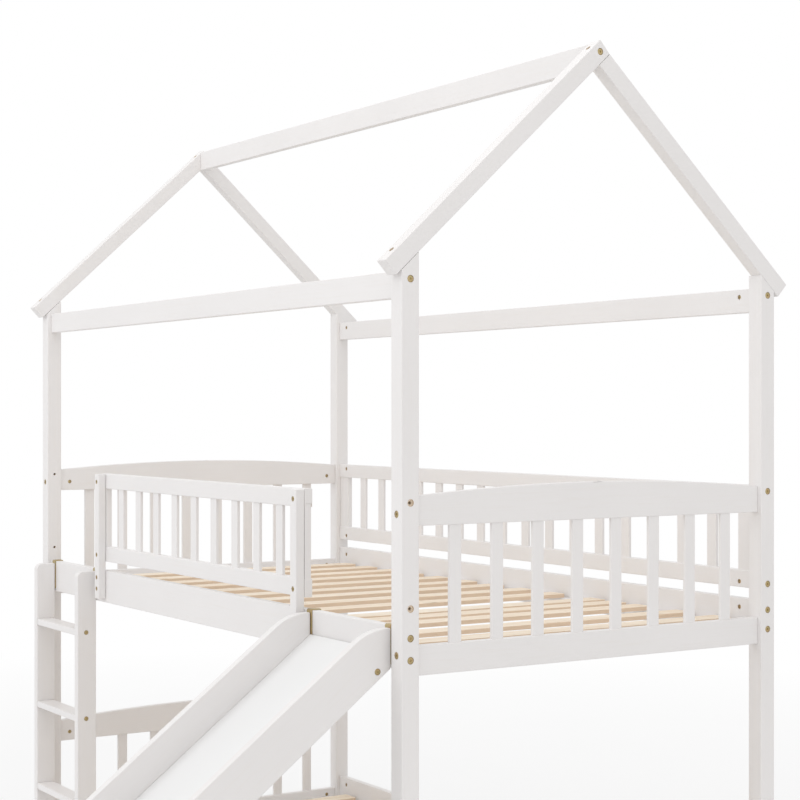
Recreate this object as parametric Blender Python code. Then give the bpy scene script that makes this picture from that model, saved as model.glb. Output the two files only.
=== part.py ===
"""House-frame bed for two sleepers, with a hook-on ladder and a hook-on slide.

X runs along the bed, the ladder and the slide hang on the front (-Y) rail, and Z is up from the floor.
The boards knock down: bolts pass through the posts into barrel nuts that lie across the boards.
"""
import math

import bmesh
import bpy
from mathutils import Matrix, Vector

# Whole bed
BED_LENGTH = 2.000
BED_WIDTH = 1.030
POST_SIDE = 0.042
BOARD_THICKNESS = 0.020
EDGE_EASE = 0.002

# Clearances and cutting
FIT_GAP = 0.0003
PIN_CLEARANCE = 0.0005
CUT_OVERRUN = 0.004

# Heights of the two beds: each is measured from the bottom edge of its end rails
LOWER_BASE = 0.112
BUNK_RISE = 0.746
END_RAIL_HEIGHT = 0.062
SIDE_RAIL_RISE = 0.0125
SIDE_RAIL_HEIGHT = 0.0885
ARCH_BOARD_RISE = 0.307
ARCH_BOARD_END_HEIGHT = 0.061
ARCH_CROWN = 0.0205
ARCH_STEPS = 8
GUARD_BOTTOM_RISE = 0.126
GUARD_TOP_RISE = 0.3275
GUARD_RAIL_HEIGHT = 0.0415

# Balusters and their housings
END_BALUSTER_WIDTH = 0.030
END_BALUSTER_DEPTH = 0.008
END_BALUSTER_FIRST_GAP = 0.0835
END_BALUSTER_COUNT = 8
GUARD_BALUSTER_WIDTH = 0.0325
GUARD_BALUSTER_DEPTH = 0.008
BACK_BALUSTER_COUNT = 16
FRONT_BALUSTER_COUNT = 9
BACK_STILE_WIDTH = 0.050
FRONT_STILE_WIDTH = 0.028
GUARD_STILE_DEPTH = 0.015
BALUSTER_SETBACK = 0.0025
HOUSING_DEPTH = 0.008

# Front guard and its uprights
GUARD_SLIDE_GAP = 0.012
GUARD_LADDER_GAP = 0.034
UPRIGHT_THICKNESS = 0.022
UPRIGHT_TOP_DROP = 0.001
UPRIGHT_BOTTOM_RISE = 0.011
UPRIGHT_GUARD_BOLT_RISE = 0.019
UPRIGHT_RAIL_BOLT_SPACING = 0.031
UPRIGHT_RAIL_BOLT_RISE = 0.039

# Slats and ledgers
LEDGER_SIDE = 0.022
LEDGER_RISE = 0.0095
LEDGER_NUT_GAP = 0.002
SLAT_SEAT = 0.001
SLAT_END_GAP = 0.0115
SLAT_WIDTH = 0.060
SLAT_THICKNESS = 0.0105
SLAT_FIRST_GAP = 0.060
SLAT_COUNT = 14

# The upper bed's slats have slipped along their ledgers: bed and slat, and its slip in slat widths
SLAT_SHIFT_SHARES = {("upper", 4): 0.10, ("upper", 5): 0.25, ("upper", 6): 0.23, ("upper", 7): 0.33,
                     ("upper", 8): 0.38, ("upper", 9): 1.03, ("upper", 10): 0.23, ("upper", 11): -0.37,
                     ("upper", 12): -0.04}

# Roof
ROOF_PITCH = math.radians(42.5)
RAFTER_DEPTH = 0.040
RAFTER_WIDTH = 0.035
RAFTER_OVERHANG = 0.017
EAVE_HEIGHT = 1.688
BACK_EAVE_DROP = 0.009
BEAM_HEIGHT = 0.056
RIDGE_DROP = 0.007
EAVE_SCREW_INSET = 0.0176
APEX_SCREW_INSET = 0.0274

# Bolts through the posts, and barrel nuts in the boards
BOLT_HEAD_RADIUS = 0.007
BOLT_HEAD_THICKNESS = 0.003
BOLT_SHANK_RADIUS = 0.003
FRAME_BOLT_LENGTH = 0.086
RECESS_DEPTH = 0.0035
BARREL_NUT_RADIUS = 0.005
BARREL_NUT_LENGTH = 0.014
SIDE_NUT_REACH = 0.085
END_NUT_REACH = 0.073
SIDE_RAIL_BOLT_SPACING = 0.045
GUARD_BOLT_EDGE = 0.0135
ARCH_BOLT_RISE = 0.025
END_RAIL_BOLT_RISE = 0.0435
EAVE_BOLT_RISE = 0.038
RIDGE_BOLT_RISE = 0.036

# Holes for the bolts of the front guard and for the long screws of the rafters
GUARD_BOLT_REACH = 0.039
SCREW_HEAD_RADIUS = 0.0055
SCREW_SHANK_RADIUS = 0.0025
SCREW_RECESS_DEPTH = 0.004
RAFTER_SCREW_REACH = 0.072

# Ladder
LADDER_WIDTH = 0.335
LADDER_POST_GAP = 0.013
LADDER_TOP_DROP = 0.006
LADDER_STILE_THICKNESS = 0.024
LADDER_STILE_DEPTH = 0.055
LADDER_CORNER_RADIUS = 0.016
RUNG_COUNT = 3
TOP_RUNG_DROP = 0.1605
RUNG_PITCH = 0.240
RUNG_THICKNESS = 0.018
RUNG_DEPTH = 0.049
RUNG_SETBACK = 0.001
RUNG_HOUSING = 0.005
LADDER_BOLT_REACH = 0.054

# Slide
SLIDE_WIDTH = 0.357
SLIDE_POST_GAP = 0.013
SLIDE_SIDE_THICKNESS = 0.020
SLIDE_PITCH = math.radians(37.2)
SLIDE_TOP_DROP = 0.005
SLIDE_SHOULDER = 0.0507
SLIDE_SHOULDER_RADIUS = 0.130
SLIDE_SIDE_DEPTH = 0.0974
SLIDE_NOSE_HEIGHT = 0.030
SLIDE_NOSE_RADIUS = 0.020
SLIDE_BED_DROP = 0.069
SLIDE_BED_THICKNESS = 0.005
SLIDE_BED_HOUSING = 0.006
SLIDE_BED_END_HEIGHT = 0.036
SLIDE_BAR_THICKNESS = 0.014
SLIDE_BAR_WIDTH = 0.034
SLIDE_TOP_BAR_INSET = 0.040
SLIDE_LOW_BAR_INSET = 0.170
SLIDE_BAR_COUNT = 3
SLIDE_BOLT_REACH = 0.054
ARC_STEPS = 6

# Hook straps of the ladder and the slide
STRAP_WIDTH = 0.021
STRAP_THICKNESS = 0.0025
STRAP_LEG = 0.080
STRAP_LIP = 0.022
STRAP_OUTER_INSET = 0.003
STRAP_SCREW_EDGE = 0.010
STRAP_SCREW_RISES = (0.015, 0.055)
STRAP_SCREW_RADIUS = 0.002
STRAP_SCREW_REACH = 0.026

# Facets of round pieces and eased edges
HEAD_SIDES = 10
SHANK_SIDES = 6
NUT_SIDES = 6
EASE_SEGMENTS = 1
ROUND_PROFILE = 0.5
SHARP_ANGLE = math.radians(35)

# Colours
WHITE_PAINT = (0.86, 0.86, 0.87, 1.0)
BARE_PINE = (0.83, 0.63, 0.40, 1.0)
YELLOW_ZINC = (0.72, 0.58, 0.26, 1.0)
PAINT_ROUGHNESS = 0.45
PINE_ROUGHNESS = 0.62
ZINC_ROUGHNESS = 0.35

# Places worked out from the sizes
HALF_LENGTH = BED_LENGTH / 2
HALF_WIDTH = BED_WIDTH / 2
POST_X = HALF_LENGTH - POST_SIDE / 2
POST_Y = HALF_WIDTH - POST_SIDE / 2
POST_INNER_X = HALF_LENGTH - POST_SIDE
POST_INNER_Y = HALF_WIDTH - POST_SIDE
RAIL_FRONT_Y = -POST_Y - BOARD_THICKNESS / 2
UPPER_BASE = LOWER_BASE + BUNK_RISE
SIDE_RAIL_TOP = UPPER_BASE + SIDE_RAIL_RISE + SIDE_RAIL_HEIGHT
GUARD_BOTTOM = UPPER_BASE + GUARD_BOTTOM_RISE
GUARD_TOP_BOARD = UPPER_BASE + GUARD_TOP_RISE
GUARD_TOP = GUARD_TOP_BOARD + GUARD_RAIL_HEIGHT
RAIL_INNER_Y = POST_Y - BOARD_THICKNESS / 2
END_BALUSTER_X = POST_X + BOARD_THICKNESS / 2 - BALUSTER_SETBACK - END_BALUSTER_DEPTH / 2
HOOKED_BACK_Y = RAIL_FRONT_Y - 2 * FIT_GAP - STRAP_THICKNESS
EAVE_BEAM_BOTTOM = EAVE_HEIGHT - BEAM_HEIGHT
LADDER_TOP = SIDE_RAIL_TOP - LADDER_TOP_DROP
SLIDE_TOP = SIDE_RAIL_TOP - SLIDE_TOP_DROP
LADDER_OUTER_LEFT = -POST_INNER_X + LADDER_POST_GAP
LADDER_OUTER_RIGHT = LADDER_OUTER_LEFT + LADDER_WIDTH
SLIDE_OUTER_RIGHT = POST_INNER_X - SLIDE_POST_GAP
SLIDE_OUTER_LEFT = SLIDE_OUTER_RIGHT - SLIDE_WIDTH
FRONT_GUARD_ENDS = (LADDER_OUTER_RIGHT + GUARD_LADDER_GAP, SLIDE_OUTER_LEFT - GUARD_SLIDE_GAP)
BOARD_ENDS = (-POST_INNER_X + FIT_GAP, POST_INNER_X - FIT_GAP)
SIDES = {"left": -1, "right": 1}
FACES = {"front": -1, "back": 1}
BEDS = {"lower": LOWER_BASE, "upper": UPPER_BASE}


def slide_line(drop):
    """Height at y = 0 of the sloped line that lies drop below the top edge of the slide's sides."""
    shoulder_y = HOOKED_BACK_Y - SLIDE_SHOULDER
    return SLIDE_TOP - math.tan(SLIDE_PITCH) * shoulder_y - drop / math.cos(SLIDE_PITCH)


def slide_y(drop, height):
    """Y at which that line reaches a height above the floor."""
    return (height - slide_line(drop)) / math.tan(SLIDE_PITCH)


SLIDE_NOSE_Y = slide_y(0, SLIDE_NOSE_HEIGHT)
RAFTER_TAIL_Y = HALF_WIDTH + RAFTER_OVERHANG * math.cos(ROOF_PITCH) + RAFTER_DEPTH * math.sin(ROOF_PITCH)
PLAN_CENTRE_Y = (RAFTER_TAIL_Y + SLIDE_NOSE_Y) / 2


def clear_scene():
    for old in list(bpy.data.objects):
        bpy.data.objects.remove(old, do_unlink=True)


def make_material(name, colour, roughness, metallic=0.0):
    material = bpy.data.materials.new(name)
    material.use_nodes = True
    shader = material.node_tree.nodes["Principled BSDF"]
    shader.inputs["Base Color"].default_value = colour
    shader.inputs["Roughness"].default_value = roughness
    shader.inputs["Metallic"].default_value = metallic
    return material


def add_empty(name, spot, parent=None):
    empty = bpy.data.objects.new(name, None)
    bpy.context.collection.objects.link(empty)
    empty.parent = parent
    empty.location = spot
    return empty


def carrier_of(name):
    """The empty that carries a piece, and where it is: the ladder and the slide hang from their own."""
    for group in ("ladder", "slide"):
        if name.startswith(group + "_"):
            empty = bpy.data.objects[group + "_origin"]
            return empty, empty.location.copy()
    return bpy.data.objects["bed_origin"], Vector()


def link_mesh(name, builder):
    """Turn a bmesh into a linked object whose origin is at its middle."""
    bmesh.ops.recalc_face_normals(builder, faces=builder.faces)
    lows = [min(vert.co[axis] for vert in builder.verts) for axis in range(3)]
    highs = [max(vert.co[axis] for vert in builder.verts) for axis in range(3)]
    middle = (Vector(lows) + Vector(highs)) / 2
    bmesh.ops.translate(builder, verts=builder.verts, vec=-middle)
    mesh = bpy.data.meshes.new(name)
    builder.to_mesh(mesh)
    builder.free()
    piece = bpy.data.objects.new(name, mesh)
    bpy.context.collection.objects.link(piece)
    piece.parent, carrier_spot = carrier_of(name)
    piece.location = middle - carrier_spot
    return piece


def finish_piece(name, builder, finish):
    """A visible piece with its own material."""
    piece = link_mesh(name, builder)
    piece.data.shade_smooth()
    piece.data.set_sharp_from_angle(angle=SHARP_ANGLE)
    colour, roughness, metallic = finish
    piece.data.materials.append(make_material(name + "_finish", colour, roughness, metallic))
    return piece


def add_box(target, low, high):
    """Add a box between two corners to a bmesh, and return its verts."""
    size = Vector(high) - Vector(low)
    middle = (Vector(high) + Vector(low)) / 2
    place = Matrix.Translation(middle) @ Matrix.Diagonal((*size, 1))
    return bmesh.ops.create_cube(target, size=1, matrix=place)["verts"]


def ease_edges(target, edges):
    bmesh.ops.bevel(target, geom=edges, offset=EDGE_EASE, segments=EASE_SEGMENTS, profile=ROUND_PROFILE,
                    affect="EDGES")


def add_board(target, low, high):
    """Add a board whose four long edges are eased."""
    verts = add_box(target, low, high)
    length = max(b - a for a, b in zip(low, high))
    edges = {edge for vert in verts for edge in vert.link_edges}
    long_edges = [edge for edge in edges if abs(edge.calc_length() - length) < FIT_GAP]
    ease_edges(target, long_edges)


def add_prism(target, outline, low_x, high_x, eased=False):
    """Extrude a (y, z) outline along X from low_x to high_x."""
    ring = [target.verts.new((low_x, y, z)) for y, z in outline]
    face = target.faces.new(ring)
    grown = bmesh.ops.extrude_face_region(target, geom=[face])
    moved = [item for item in grown["geom"] if isinstance(item, bmesh.types.BMVert)]
    bmesh.ops.translate(target, verts=moved, vec=(high_x - low_x, 0, 0))
    if eased:
        flat = [edge for edge in target.edges if abs(edge.verts[0].co.x - edge.verts[1].co.x) < FIT_GAP]
        ease_edges(target, flat)


def aim(start, direction):
    """Matrix that carries local +Z to a direction and the origin to a start point."""
    turn = Vector((0, 0, 1)).rotation_difference(Vector(direction).normalized())
    return Matrix.Translation(start) @ turn.to_matrix().to_4x4()


def add_ring(target, place, radius, height, sides):
    turn = 2 * math.pi / sides
    spots = [(radius * math.cos(turn * i), radius * math.sin(turn * i), height) for i in range(sides)]
    return [target.verts.new(place @ Vector(spot)) for spot in spots]


def ring_edges(target, ring):
    """Edges round a ring of verts, made where they are missing."""
    pairs = zip(ring, ring[1:] + ring[:1])
    return [target.edges.get(pair) or target.edges.new(pair) for pair in pairs]


def bridge(target, first, second):
    """Join two rings of verts, which may differ in number, with a strip of faces."""
    bmesh.ops.bridge_loops(target, edges=ring_edges(target, first) + ring_edges(target, second))


def add_pin(target, place, steps):
    """Add a solid pin along local +Z: steps holds (radius, from, to, sides) for each length of it."""
    last_ring = None
    for radius, low, high, sides in steps:
        bottom_ring = add_ring(target, place, radius, low, sides)
        top_ring = add_ring(target, place, radius, high, sides)
        bridge(target, bottom_ring, top_ring)
        if last_ring:
            bridge(target, last_ring, bottom_ring)
        else:
            target.faces.new(bottom_ring)
        last_ring = top_ring
    target.faces.new(last_ring)


def wider(radius, sides):
    """Radius of a polygon whose flats clear a round pin of the given radius."""
    return (radius + PIN_CLEARANCE) / math.cos(math.pi / sides)


def combine(piece, name, tool_builder, operation):
    """Unite a piece with another shape, or cut that shape from it, with an exact Boolean."""
    tool = link_mesh(name, tool_builder)
    tool.hide_render = True
    tool.display_type = "WIRE"
    modifier = piece.modifiers.new(name, "BOOLEAN")
    modifier.operation = operation
    modifier.solver = "EXACT"
    modifier.object = tool


class Joinery:
    """The holes and housings that each piece needs, gathered first and cut when the piece is made."""

    def __init__(self):
        self.cutters = {}
        self.bolts = {}

    def cutter(self, piece, kind):
        return self.cutters.setdefault((piece, kind), bmesh.new())

    def recessed_hole(self, piece, start, direction, head_radius, shank_radius, recess, length):
        """A recess for a head and a bore beyond it."""
        steps = [(wider(head_radius, HEAD_SIDES), -CUT_OVERRUN, recess, HEAD_SIDES)]
        steps.append((wider(shank_radius, SHANK_SIDES), recess, length, SHANK_SIDES))
        add_pin(self.cutter(piece, "recesses"), aim(start, direction), steps)

    def bolt_hole(self, piece, start, direction, length):
        self.recessed_hole(piece, start, direction, BOLT_HEAD_RADIUS, BOLT_SHANK_RADIUS, RECESS_DEPTH, length)

    def bore(self, piece, start, direction, radius, length, kind="bores", sides=SHANK_SIDES):
        """A plain round hole from start."""
        steps = [(wider(radius, sides), -CUT_OVERRUN, length, sides)]
        add_pin(self.cutter(piece, kind), aim(start, direction), steps)

    def frame_joint(self, post, board, start, direction, post_depth, nut_reach, nut_side, bolt=None):
        """Bolt a board's end to the piece that it butts against, with a nut hole across the board."""
        start = Vector(start)
        direction = Vector(direction)
        nut_side = Vector(nut_side)
        self.bolt_hole(post, start, direction, post_depth + CUT_OVERRUN)
        nut_centre = start + direction * nut_reach
        self.bore(board, start + direction * post_depth, direction, BOLT_SHANK_RADIUS, nut_reach - post_depth)
        hole_start = nut_centre + nut_side * BOARD_THICKNESS / 2
        hole_depth = BOARD_THICKNESS / 2 + BARREL_NUT_LENGTH / 2
        self.bore(board, hole_start, -nut_side, BARREL_NUT_RADIUS, hole_depth, "nut_holes", NUT_SIDES)
        if bolt:
            self.bolts[bolt] = (start, direction)

    def cut_piece(self, piece):
        """Cut every hole and housing that this piece needs."""
        for (owner, kind), cutter in self.cutters.items():
            if owner == piece.name:
                combine(piece, f"{piece.name}_{kind}_cutter", cutter, "DIFFERENCE")

    def make_bolts(self):
        """Bolts with flat heads, seated in their recesses."""
        seat = RECESS_DEPTH - FIT_GAP
        steps = [(BOLT_HEAD_RADIUS, seat - BOLT_HEAD_THICKNESS, seat, HEAD_SIDES)]
        steps.append((BOLT_SHANK_RADIUS, seat, seat + FRAME_BOLT_LENGTH, SHANK_SIDES))
        for name, (start, direction) in self.bolts.items():
            builder = bmesh.new()
            add_pin(builder, aim(start, direction), steps)
            finish_piece(name, builder, ZINC)


PAINT = (WHITE_PAINT, PAINT_ROUGHNESS, 0.0)
PINE = (BARE_PINE, PINE_ROUGHNESS, 0.0)
ZINC = (YELLOW_ZINC, ZINC_ROUGHNESS, 1.0)


def wooden_board(name, corners, joinery):
    builder = bmesh.new()
    add_board(builder, *corners)
    piece = finish_piece(name, builder, PAINT)
    joinery.cut_piece(piece)
    return piece


def wooden_prism(name, outline, low_x, high_x, joinery):
    builder = bmesh.new()
    add_prism(builder, outline, low_x, high_x, eased=True)
    piece = finish_piece(name, builder, PAINT)
    joinery.cut_piece(piece)
    return piece


def along_x_board(face, ends, bottom, height):
    """Corners of a board that runs along X in the plane of the front or back posts."""
    middle = FACES[face] * POST_Y
    low = (ends[0], middle - BOARD_THICKNESS / 2, bottom)
    high = (ends[1], middle + BOARD_THICKNESS / 2, bottom + height)
    return low, high


def bolt_across(joinery, face, board, height, bolt=None):
    """Bolts through both posts of one face into the ends of a board that runs along X."""
    for side, sign in SIDES.items():
        start = (sign * HALF_LENGTH, FACES[face] * POST_Y, height)
        post = f"post_{face}_{side}"
        name = f"{bolt}_{face}_{side}" if bolt else None
        joinery.frame_joint(post, board, start, (-sign, 0, 0), POST_SIDE, SIDE_NUT_REACH,
                            (0, -FACES[face], 0), name)


def bolt_along(joinery, side, board, height):
    """Bolts through the front and back post of one end into a board that runs along Y."""
    for face, sign in FACES.items():
        start = (SIDES[side] * POST_X, sign * HALF_WIDTH, height)
        post = f"post_{face}_{side}"
        joinery.frame_joint(post, board, start, (0, -sign, 0), POST_SIDE, END_NUT_REACH,
                            (-SIDES[side], 0, 0))


def spare_holes(joinery):
    """The front posts are drilled like the back ones, and their holes for a guard stay empty."""
    for side, sign in SIDES.items():
        for height in (GUARD_BOTTOM + GUARD_BOLT_EDGE, GUARD_TOP - GUARD_BOLT_EDGE):
            start = (sign * HALF_LENGTH, -POST_Y, height)
            joinery.bolt_hole(f"post_front_{side}", start, (-sign, 0, 0), POST_SIDE + CUT_OVERRUN)


def rafter_underside(face):
    """Foot of a rafter's underside over the post's outer face, its direction up the slope and its normal."""
    sign = FACES[face]
    height = EAVE_HEIGHT - (BACK_EAVE_DROP if face == "back" else 0)
    foot = Vector((0, sign * HALF_WIDTH, height))
    up_slope = Vector((0, -sign * math.cos(ROOF_PITCH), math.sin(ROOF_PITCH)))
    normal = Vector((0, sign * math.sin(ROOF_PITCH), math.cos(ROOF_PITCH)))
    return foot, up_slope, normal


def front_underside_point(y):
    return Vector((0, y, EAVE_HEIGHT + math.tan(ROOF_PITCH) * (y + HALF_WIDTH)))


def apex_corner():
    """Lower corner of the front rafter's upper end, which lies on the top line of the back rafter."""
    rise = RAFTER_DEPTH / math.cos(ROOF_PITCH) - BACK_EAVE_DROP
    return front_underside_point(rise / (2 * math.tan(ROOF_PITCH)))


def meeting_corner():
    """Where the undersides of the front and back rafters meet."""
    return front_underside_point(-BACK_EAVE_DROP / (2 * math.tan(ROOF_PITCH)))


def flat_points(points):
    return [(point.y, point.z) for point in points]


def front_rafter_outline():
    foot, up_slope, normal = rafter_underside("front")
    low = foot - up_slope * RAFTER_OVERHANG
    high = apex_corner()
    return flat_points([low, high, high + normal * RAFTER_DEPTH, low + normal * RAFTER_DEPTH])


def back_rafter_outline():
    """The back rafter's upper end is cut to lie against the front rafter's underside."""
    foot, up_slope, normal = rafter_underside("back")
    clear = rafter_underside("front")[2] * FIT_GAP
    low = foot - up_slope * RAFTER_OVERHANG
    return flat_points([low, meeting_corner() - clear, apex_corner() - clear, low + normal * RAFTER_DEPTH])


def ridge_place():
    """Middle plane and top of the ridge beam, under the peak of the front rafters."""
    peak = apex_corner() + rafter_underside("front")[2] * RAFTER_DEPTH
    return peak.y, peak.z - RIDGE_DROP


def plan_frame_joints(joinery):
    for name, base in BEDS.items():
        middle = base + SIDE_RAIL_RISE + SIDE_RAIL_HEIGHT / 2
        for face in FACES:
            for place, sign in (("low", -1), ("high", 1)):
                bolt = f"rail_bolt_{place}" if name == "upper" else None
                height = middle + sign * SIDE_RAIL_BOLT_SPACING / 2
                bolt_across(joinery, face, f"{name}_side_rail_{face}", height, bolt)
        for side in SIDES:
            bolt_along(joinery, side, f"{name}_{side}_end_balusters", base + END_RAIL_BOLT_RISE)
            bolt_along(joinery, side, f"{name}_{side}_arch_board", base + ARCH_BOARD_RISE + ARCH_BOLT_RISE)
    for face in FACES:
        bolt_across(joinery, face, f"eave_beam_{face}", EAVE_BEAM_BOTTOM + EAVE_BOLT_RISE, "eave_bolt")
    bolt_across(joinery, "back", "back_guard_balusters", GUARD_BOTTOM + GUARD_BOLT_EDGE)
    bolt_across(joinery, "back", "back_guard_top_rail", GUARD_TOP - GUARD_BOLT_EDGE)
    ridge_y, ridge_top = ridge_place()
    for side, sign in SIDES.items():
        start = (sign * HALF_LENGTH, ridge_y, ridge_top - BEAM_HEIGHT + RIDGE_BOLT_RISE)
        joinery.frame_joint(f"rafter_front_{side}", "ridge_beam", start, (-sign, 0, 0), RAFTER_WIDTH,
                            SIDE_NUT_REACH, (0, 1, 0), f"ridge_bolt_{side}")


def plan_rafter_screws(joinery):
    """Holes for one long screw through each rafter into its post, and one at the apex of each gable."""
    holes = []
    for face in FACES:
        foot, up_slope, normal = rafter_underside(face)
        holes.append((face, foot + up_slope * EAVE_SCREW_INSET, normal, f"post_{face}"))
    up_slope, normal = rafter_underside("front")[1:]
    holes.append(("front", apex_corner() - up_slope * APEX_SCREW_INSET, normal, "rafter_back"))
    for side, sign in SIDES.items():
        for face, seat, normal, lower in holes:
            seat = Vector((sign * (HALF_LENGTH - RAFTER_WIDTH / 2), seat.y, seat.z))
            start = seat + normal * RAFTER_DEPTH
            joinery.recessed_hole(f"rafter_{face}_{side}", start, -normal, SCREW_HEAD_RADIUS,
                                  SCREW_SHANK_RADIUS, SCREW_RECESS_DEPTH, RAFTER_DEPTH + CUT_OVERRUN)
            joinery.bore(f"{lower}_{side}", seat, -normal, SCREW_SHANK_RADIUS,
                         RAFTER_SCREW_REACH - RAFTER_DEPTH, "screw_bores")


def plan_uprights(joinery):
    """Holes for the bolts that hold the two uprights of the front guard to the boards behind them."""
    low_rail_bolt = UPPER_BASE + SIDE_RAIL_RISE + UPRIGHT_RAIL_BOLT_RISE
    heights = {"front_guard_balusters": (GUARD_BOTTOM + UPRIGHT_GUARD_BOLT_RISE,),
               "front_guard_top_rail": (GUARD_TOP_BOARD + UPRIGHT_GUARD_BOLT_RISE,),
               "upper_side_rail_front": (low_rail_bolt, low_rail_bolt + UPRIGHT_RAIL_BOLT_SPACING)}
    front = RAIL_FRONT_Y - FIT_GAP - UPRIGHT_THICKNESS
    for (side, sign), end_x in zip(SIDES.items(), FRONT_GUARD_ENDS):
        middle_x = end_x - sign * FRONT_STILE_WIDTH / 2
        for board, places in heights.items():
            for height in places:
                joinery.bolt_hole(f"front_guard_upright_{side}", (middle_x, front, height), (0, 1, 0),
                                  UPRIGHT_THICKNESS + CUT_OVERRUN)
                joinery.bore(board, (middle_x, RAIL_FRONT_Y, height), (0, 1, 0), BOLT_SHANK_RADIUS,
                             GUARD_BOLT_REACH - UPRIGHT_THICKNESS)


def build_posts(joinery):
    for face, sign in FACES.items():
        foot = rafter_underside(face)[0]
        outer = foot.z - FIT_GAP / math.cos(ROOF_PITCH)
        inner = outer + POST_SIDE * math.tan(ROOF_PITCH)
        outer_y = sign * HALF_WIDTH
        inner_y = sign * POST_INNER_Y
        outline = [(outer_y, 0), (outer_y, outer), (inner_y, inner), (inner_y, 0)]
        for side, x_sign in SIDES.items():
            low_x, high_x = sorted((x_sign * HALF_LENGTH, x_sign * POST_INNER_X))
            wooden_prism(f"post_{face}_{side}", outline, low_x, high_x, joinery)


def build_roof(joinery):
    outlines = {"front": front_rafter_outline(), "back": back_rafter_outline()}
    for side, sign in SIDES.items():
        low_x, high_x = sorted((sign * HALF_LENGTH, sign * (HALF_LENGTH - RAFTER_WIDTH)))
        for face, outline in outlines.items():
            wooden_prism(f"rafter_{face}_{side}", outline, low_x, high_x, joinery)
    for face in FACES:
        corners = along_x_board(face, BOARD_ENDS, EAVE_BEAM_BOTTOM, BEAM_HEIGHT)
        wooden_board(f"eave_beam_{face}", corners, joinery)
    ridge_y, ridge_top = ridge_place()
    half = HALF_LENGTH - RAFTER_WIDTH - FIT_GAP
    low = (-half, ridge_y - BOARD_THICKNESS / 2, ridge_top - BEAM_HEIGHT)
    wooden_board("ridge_beam", (low, (half, ridge_y + BOARD_THICKNESS / 2, ridge_top)), joinery)


def arch_outline(bottom):
    """(y, z) outline of an arched top board: flat below, a shallow circle arc above."""
    half = POST_INNER_Y - FIT_GAP
    radius = (half * half + ARCH_CROWN * ARCH_CROWN) / (2 * ARCH_CROWN)
    centre = bottom + ARCH_BOARD_END_HEIGHT + ARCH_CROWN - radius
    reach = math.asin(half / radius)
    outline = [(-half, bottom), (half, bottom)]
    for step in range(ARCH_STEPS + 1):
        angle = reach - 2 * reach * step / ARCH_STEPS
        outline.append((radius * math.sin(angle), centre + radius * math.cos(angle)))
    return outline


def comb(name, rail_corners, rows, joinery, board_above):
    """A bottom rail with uprights glued into it: their tops go into housings in the board above.

    rows holds the low and high corners of each upright, which reach up to the board above.
    """
    builder = bmesh.new()
    add_board(builder, *rail_corners)
    piece = finish_piece(name, builder, PAINT)
    uprights = bmesh.new()
    housings = joinery.cutter(board_above, "housings")
    spread = Vector((FIT_GAP, FIT_GAP, 0))
    for low, high in rows:
        top = Vector(high) + Vector((0, 0, HOUSING_DEPTH - FIT_GAP))
        foot = Vector(low) - Vector((0, 0, HOUSING_DEPTH))
        add_box(uprights, foot, top)
        mouth = Vector((low[0], low[1], high[2] - CUT_OVERRUN)) - spread
        add_box(housings, mouth, Vector(high) + spread + Vector((0, 0, HOUSING_DEPTH)))
    combine(piece, name + "_uprights", uprights, "UNION")
    joinery.cut_piece(piece)


def build_end_frames(joinery):
    reach = POST_INNER_Y - END_BALUSTER_FIRST_GAP - END_BALUSTER_WIDTH / 2
    pitch = 2 * reach / (END_BALUSTER_COUNT - 1)
    half = POST_INNER_Y - FIT_GAP
    for name, base in BEDS.items():
        board_bottom = base + ARCH_BOARD_RISE
        rail_top = base + END_RAIL_HEIGHT
        for side, sign in SIDES.items():
            low_x = sign * POST_X - BOARD_THICKNESS / 2
            high_x = sign * POST_X + BOARD_THICKNESS / 2
            lath_x = sign * END_BALUSTER_X
            rows = []
            for index in range(END_BALUSTER_COUNT):
                middle_y = pitch * index - reach
                low = (lath_x - END_BALUSTER_DEPTH / 2, middle_y - END_BALUSTER_WIDTH / 2, rail_top)
                high = (lath_x + END_BALUSTER_DEPTH / 2, middle_y + END_BALUSTER_WIDTH / 2, board_bottom)
                rows.append((low, high))
            corners = ((low_x, -half, base), (high_x, half, rail_top))
            board = f"{name}_{side}_arch_board"
            comb(f"{name}_{side}_end_balusters", corners, rows, joinery, board)
            wooden_prism(board, arch_outline(board_bottom), low_x, high_x, joinery)


def build_deck(name, base, joinery):
    """Side rails, and slats across two ledgers, which stop short of the nut holes in the rails."""
    rail_bottom = base + SIDE_RAIL_RISE
    ledger_bottom = rail_bottom + LEDGER_RISE
    ledger_top = ledger_bottom + LEDGER_SIDE
    ledgers = bmesh.new()
    for face, sign in FACES.items():
        corners = along_x_board(face, BOARD_ENDS, rail_bottom, SIDE_RAIL_HEIGHT)
        wooden_board(f"{name}_side_rail_{face}", corners, joinery)
        outer_y = sign * (RAIL_INNER_Y - FIT_GAP)
        low_y, high_y = sorted((outer_y, outer_y - sign * LEDGER_SIDE))
        half = HALF_LENGTH - SIDE_NUT_REACH - BARREL_NUT_RADIUS - LEDGER_NUT_GAP
        add_board(ledgers, (-half, low_y, ledger_bottom), (half, high_y, ledger_top))
    slats = bmesh.new()
    slat_bottom = ledger_top - SLAT_SEAT
    slat_end = RAIL_INNER_Y - SLAT_END_GAP
    reach = POST_INNER_X - SLAT_FIRST_GAP - SLAT_WIDTH / 2
    for index in range(SLAT_COUNT):
        shift = SLAT_SHIFT_SHARES.get((name, index), 0) * SLAT_WIDTH
        middle = 2 * reach * index / (SLAT_COUNT - 1) - reach + shift
        low = (middle - SLAT_WIDTH / 2, -slat_end, slat_bottom)
        add_box(slats, low, (middle + SLAT_WIDTH / 2, slat_end, slat_bottom + SLAT_THICKNESS))
    piece = finish_piece(f"{name}_slats", slats, PINE)
    combine(piece, f"{name}_ledgers", ledgers, "UNION")


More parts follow.
